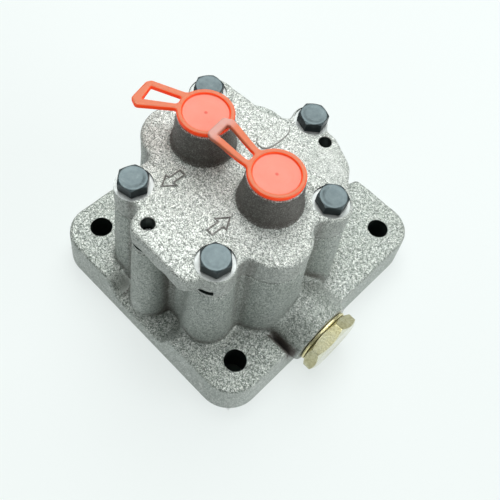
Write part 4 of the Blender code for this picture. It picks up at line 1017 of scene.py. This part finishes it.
def name_pad():
    """The low oval pad, left bare."""
    cx, cy, half_x, half_y = NAME_PAD
    rings = []
    for z, inset in ((-1.0, -0.2), (0.1, -0.2), (0.5, 0.0), (0.68, 0.22), (0.74, 0.6)):
        ring = []
        for k in range(72):
            c = math.cos(2 * math.pi * k / 72)
            s = math.sin(2 * math.pi * k / 72)
            ring.append((
                cx + (half_x - inset) * math.copysign(abs(c) ** 0.75, c),
                cy + (half_y - inset) * math.copysign(abs(s) ** 0.75, s),
                COVER_TOP_Z + z,
            ))
        rings.append(ring)
    return loft("name_pad", rings)


def make_cover():
    cover = skin("cover", cover_field, (-58.3, -71.9, 68.3), (56.0, 50.0, 106.3), 0.62, COVER_IRON)
    boolean(cover, [merged([name_pad()] + [arrow_ridge(*arrow) for arrow in FLOW_ARROWS])], "UNION")
    profile = [(0, 60), (4.5, 60), (4.5, SEAT_Z), (SPOT_R, SEAT_Z), (SPOT_R, 92), (0, 92)]
    spots = [revolve("spot", profile, 96, centre=bolt[:2]) for bolt in BOLTS]
    wide = DOWEL_HOLE_R + 0.4
    profile = [(0, 60), (DOWEL_HOLE_R, 60), (DOWEL_HOLE_R, 85.2), (wide, 85.7), (wide, 92), (0, 92)]
    dowels = [revolve("dowel_hole", profile, 48, centre=centre) for centre in DOWELS]
    under = box_solid("under", (-90, -90, 60), (90, 90, COVER_Z))
    boolean(cover, [under] + [port_thread(cx) for cx, _ in PORTS] + [merged(spots), merged(dowels)])
    boolean(cover, [merged([pry_slot(*slot) for slot in PRY_SLOTS])])
    add_shelter(cover)
    paint(cover, CUT_IRON, on_machined_cover)
    paint(cover, PAINTED_SHADE_IRON, on_boss_sides)
    paint(cover, PAINTED_SHADE_IRON, on_marks)
    paint(cover, SEAT_IRON, on_seats)
    paint(cover, RECESS_PAINTED_SHADE_IRON, in_cover_bores)
    paint(cover, RECESS_PAINTED_SHADE_IRON, in_pry_slots)
    return piece(shaded(cover), "cover_casting", "pump", ["pump_cover"])


def on_machined_cover(x, y, z, n):
    return (z < COVER_Z + 0.02) | ((z > PORT_BOSS_TOP_Z - 0.06) & (n[:, 2] > 0.95))


def on_seats(x, y, z, n):
    return (nearest(x, y, BOLTS) < SPOT_R + 0.02) & (np.abs(z - SEAT_Z) < 0.02)


# Painted shade on the sides of the port bosses, which face away from the light
def on_boss_sides(x, y, z, n):
    return (nearest(x, y, PORTS) < PORT_BOSS_R + 3.4) & (z > COVER_TOP_Z + 1.1) & (n[:, 2] < 0.7)


def on_marks(x, y, z, n):
    """The ridges of the flow arrows and the edge of the bare pad, which get near-black iron as painted shade."""
    cx, cy, half_x, half_y = NAME_PAD
    mark = (np.abs(x - cx) < half_x + 0.5) & (np.abs(y - cy) < half_y + 0.5) & (n[:, 2] < 0.9)
    for cx, cy, towards in FLOW_ARROWS:
        along, across = along_across(x, y, cx, cy, math.radians(towards))
        mark |= (np.abs(along) < 7.0) & (np.abs(across) < 4.3)
    return mark & (z > COVER_TOP_Z + 0.04)


# Painted shade inside the pry slots
def in_pry_slots(x, y, z, n):
    slot = np.zeros(len(x), dtype=bool)
    for cx, cy, turn, width, reach in PRY_SLOTS:
        along, across = along_across(x, y, cx, cy, turn)
        slot |= (np.abs(along) < width / 2 + 0.02) & (across < reach + 0.02)
    return slot & (np.abs(z - LIP_Z + PRY_SLOT_H / 2) < PRY_SLOT_H / 2 + 0.02)


# Painted shade inside the dowel and bolt holes, round each seat's step and in the port threads
def in_cover_bores(x, y, z, n):
    bolt = nearest(x, y, BOLTS)
    deep = (nearest(x, y, DOWELS) < DOWEL_HOLE_R + 0.03) & (z < 85.1)
    deep |= (bolt < 4.55) & (z < SEAT_Z - 0.05)
    # The step round each seat is in the bolt's shade
    deep |= (np.abs(bolt - SPOT_R) < 0.05) & (z > SEAT_Z + 0.02) & (np.abs(n[:, 2]) < 0.3)
    return deep | ((nearest(x, y, PORTS) < PORT_THREAD_R + 0.8) & (z < PORT_BOSS_TOP_Z - 0.1))


# Fasteners

def hex_solid(name, across, height, turn, dish, material, place, both_ends=False):
    """A hexagon whose corners are turned off at thirty degrees, with a shallow turned dish on top."""
    ring = hexagon(across, turn)
    head = loft(name, [[(x, y, 0.0) for x, y in ring], [(x, y, height) for x, y in ring]], material)
    corner = across / math.sqrt(3)
    flat_r = across / 2 - 0.25
    fall = (corner + 0.4 - flat_r) * math.tan(math.radians(30))
    profile = [(0, -0.5), (corner - 0.2, -0.5), (corner + 0.4, 0.4), (corner + 0.4, height - fall)]
    if both_ends:
        profile[1:3] = [(flat_r - 0.87, -0.5), (corner + 0.4, fall)]
    for k in range(5):
        t = k / 4
        profile.append((flat_r + 0.25 - 0.5 * t, height - 0.145 * (1 - t) ** 2))
    profile += [(dish + 0.7, height), (dish, height - 0.16), (dish - 0.9, height - 0.2), (0, height - 0.2)]
    turned_off = revolve("turned_off", profile, 120)
    boolean(head, [turned_off], "INTERSECT")
    head.data.transform(Matrix.Translation((-SHIFT_X * MM, 0, 0)))
    moved = place.copy()
    moved.translation = (place.translation + Vector((SHIFT_X, 0, 0))) * MM
    head.data.transform(moved)
    return head


def make_bolt(index):
    cx, cy, turn = BOLTS[index]
    seat = SEAT_Z + 0.3
    place = Matrix.Translation((cx, cy, seat))
    head = hex_solid("bolt", BOLT_AF, BOLT_HEAD_H, turn, 4.5, BOLT, place)
    profile = [(0, -35.0), (3.1, -35.0), (4.0, -34.1), (4.0, 1.0), (0, 1.0)]
    boolean(head, [revolve("shank", profile, 32, place=place)], "UNION")
    # The sides of the head get the darker copy, as painted shade
    paint(head, BOLT_SIDE_PAINTED_SHADE, lambda x, y, z, n: (np.abs(n[:, 2]) < 0.4) & (z > seat))
    name = f"cover_bolt_{index + 1}"
    piece(shaded(head, 22.0), f"bolt_{index + 1}", "pump", [name])


def make_plug():
    place = lying(HEX_X) @ Matrix.Rotation(PLUG_TURN, 4, "Z")
    head = hex_solid("plug", PLUG_AF, PLUG_HEX_T, 0.0, 9.0, ZINC, place, both_ends=True)
    shank_end = -16.2
    profile = [(0, shank_end), (9.2, shank_end), (10.25, shank_end + 1.1), (10.25, 1.0), (0, 1.0)]
    boolean(head, [revolve("shank", profile, 64, place=place)], "UNION")
    pocket = [(0, -18), (5.45, -18), (5.45, -4.1), (0, -4.1)]
    boolean(head, [revolve("pocket", pocket, 48, place=place)])
    # The end face gets the paler zinc, as painted sheen
    paint(head, END_ZINC_PAINTED_SHEEN, lambda x, y, z, n: (n[:, 0] > 0.6) & (x > HEX_X + 3.0))
    piece(shaded(head, 22.0), "plug", "pump", ["relief_plug"])


def make_washer():
    inner = 10.6
    profile = [(inner, 0.15), (inner + 0.15, 0)]
    for k in range(7):
        turn = math.pi * k / 6
        profile.append((WASHER_R - 0.6 + 0.6 * math.sin(turn), WASHER_T / 2 - WASHER_T / 2 * math.cos(turn)))
    profile += [(inner + 0.15, WASHER_T), (inner, WASHER_T - 0.15)]
    washer = revolve("washer", profile, 120, WASHER, place=lying(RELIEF_END_X + 0.3))
    piece(shaded(washer), "plug_washer", "pump", ["relief_washer"])


def make_cap(index):
    cx = PORTS[index][0]
    loop = LOOPS[index]
    turn, reach, rise, _ = loop
    tip_x = cx + reach * math.cos(math.radians(turn))
    tip_y = PORT_Y + reach * math.sin(math.radians(turn))
    low = (min(tip_x - 11.0, cx - 14.0), min(tip_y - 11.0, PORT_Y - 14.0), 93.7)
    high = (cx + 14.0, PORT_Y + 14.0, CAP_TOP_Z + rise + 1.4)
    plastic = red_plastic(f"cap_plastic_{index + 1}", cx, loop)
    cap = skin("cap", cap_field(cx, loop), low, high, 0.34, plastic)
    name = f"port_cap_{index + 1}"
    piece(shaded(cap, 60.0), f"transit_cap_{index + 1}", f"cap_{index + 1}", [name])


make_body()
make_cover()
for number in range(len(BOLTS)):
    make_bolt(number)
make_plug()
make_washer()
for number in range(len(PORTS)):
    make_cap(number)


# Camera and studio

def camera():
    az, el, roll = (math.radians(turn) for turn in CAMERA_TURNS)
    right = Vector((math.cos(az), math.sin(az), 0))
    back = Vector((math.sin(az) * math.cos(el), -math.cos(az) * math.cos(el), math.sin(el)))
    up = back.cross(right)
    turned_right = right * math.cos(roll) + up * math.sin(roll)
    turned_up = up * math.cos(roll) - right * math.sin(roll)
    place = Matrix((turned_right, turned_up, back)).transposed().to_4x4()
    place.translation = Vector(CAMERA_PLACE)
    data = bpy.data.cameras.new("camera")
    data.sensor_width = 36.0
    data.lens = CAMERA_LENS
    data.clip_start = 0.01
    data.clip_end = 20.0
    obj = bpy.data.objects.new("camera", data)
    obj.matrix_world = place
    bpy.context.scene.collection.objects.link(obj)
    bpy.context.scene.camera = obj


def area_light(name, towards, height, distance, size, power, colour):
    """A softbox seen from the pump at an azimuth and elevation in degrees."""
    turn = math.radians(towards)
    rise = math.radians(height)
    out = Vector((math.cos(turn) * math.cos(rise), math.sin(turn) * math.cos(rise), math.sin(rise)))
    data = bpy.data.lights.new(name, "AREA")
    data.shape = "RECTANGLE"
    data.size = size[0]
    data.size_y = size[1]
    data.energy = power
    data.color = colour
    obj = bpy.data.objects.new(name, data)
    obj.location = Vector((0, 0, 0.06)) + out * distance
    obj.rotation_euler = out.to_track_quat("Z", "Y").to_euler()
    bpy.context.scene.collection.objects.link(obj)


def floor_paper():
    """Overlit white paper."""
    material, tree, shader, place = start_material("floor_white", 0.8, 0.0)
    soft = noise(tree, place, 3.0, 1.0, 0.5)
    split = tree.nodes.new("ShaderNodeSeparateXYZ")
    tree.links.new(place, split.inputs[0])
    aside = arithmetic(tree, "ABSOLUTE", arithmetic(tree, "SUBTRACT", split.outputs[0], SHIFT_X * MM), 0.0)
    along = arithmetic(tree, "ABSOLUTE", split.outputs[1], 0.0)
    # Under the flange, seen only through its holes, the paper is in the dark
    aside = to_range(tree, aside, (FLANGE_HALF_X - 7.0) * MM, (FLANGE_HALF_X - 4.0) * MM)
    along = to_range(tree, along, (FLANGE_HALF_Y - 7.0) * MM, (FLANGE_HALF_Y - 4.0) * MM)
    clear = arithmetic(tree, "MAXIMUM", aside, along)
    paper = ramp(tree, soft, ((0.3, (0.22, 0.23, 0.228)), (0.7, (0.235, 0.245, 0.243))))
    tree.links.new(blend_colour(tree, clear, (0.02, 0.025, 0.022), paper), shader.inputs["Base Color"])
    shader.inputs["Emission Color"].default_value = DAYLIGHT
    tree.links.new(to_range(tree, clear, 0.0, 1.0, 0.0, 0.685), shader.inputs["Emission Strength"])
    shader.inputs["Specular IOR Level"].default_value = 0.0
    return material


def studio():
    mesh = bpy.data.meshes.new("floor")
    mesh.from_pydata([(-4, -4, 0), (4, -4, 0), (4, 4, 0), (-4, 4, 0)], [], [(0, 1, 2, 3)])
    mesh.materials.append(floor_paper())
    floor = bpy.data.objects.new("floor", mesh)
    floor.location.z = -0.0002
    bpy.context.scene.collection.objects.link(floor)
    world = bpy.data.worlds.new("studio")
    world.use_nodes = True
    sky = world.node_tree.nodes["Background"].inputs
    sky["Color"].default_value = DAYLIGHT
    sky["Strength"].default_value = 0.19
    bpy.context.scene.world = world
    area_light("key", 128.0, 58.0, 0.95, (0.75, 0.75), 7.3, (0.97, 1.0, 0.99))
    area_light("top", 200.0, 82.0, 1.1, (0.8, 0.8), 5.9, (0.97, 1.0, 0.99))
    area_light("right", 22.0, 25.0, 1.0, (0.7, 0.5), 4.0, (0.97, 1.0, 1.0))
    bpy.context.scene.view_settings.view_transform = "Standard"


camera()
studio()
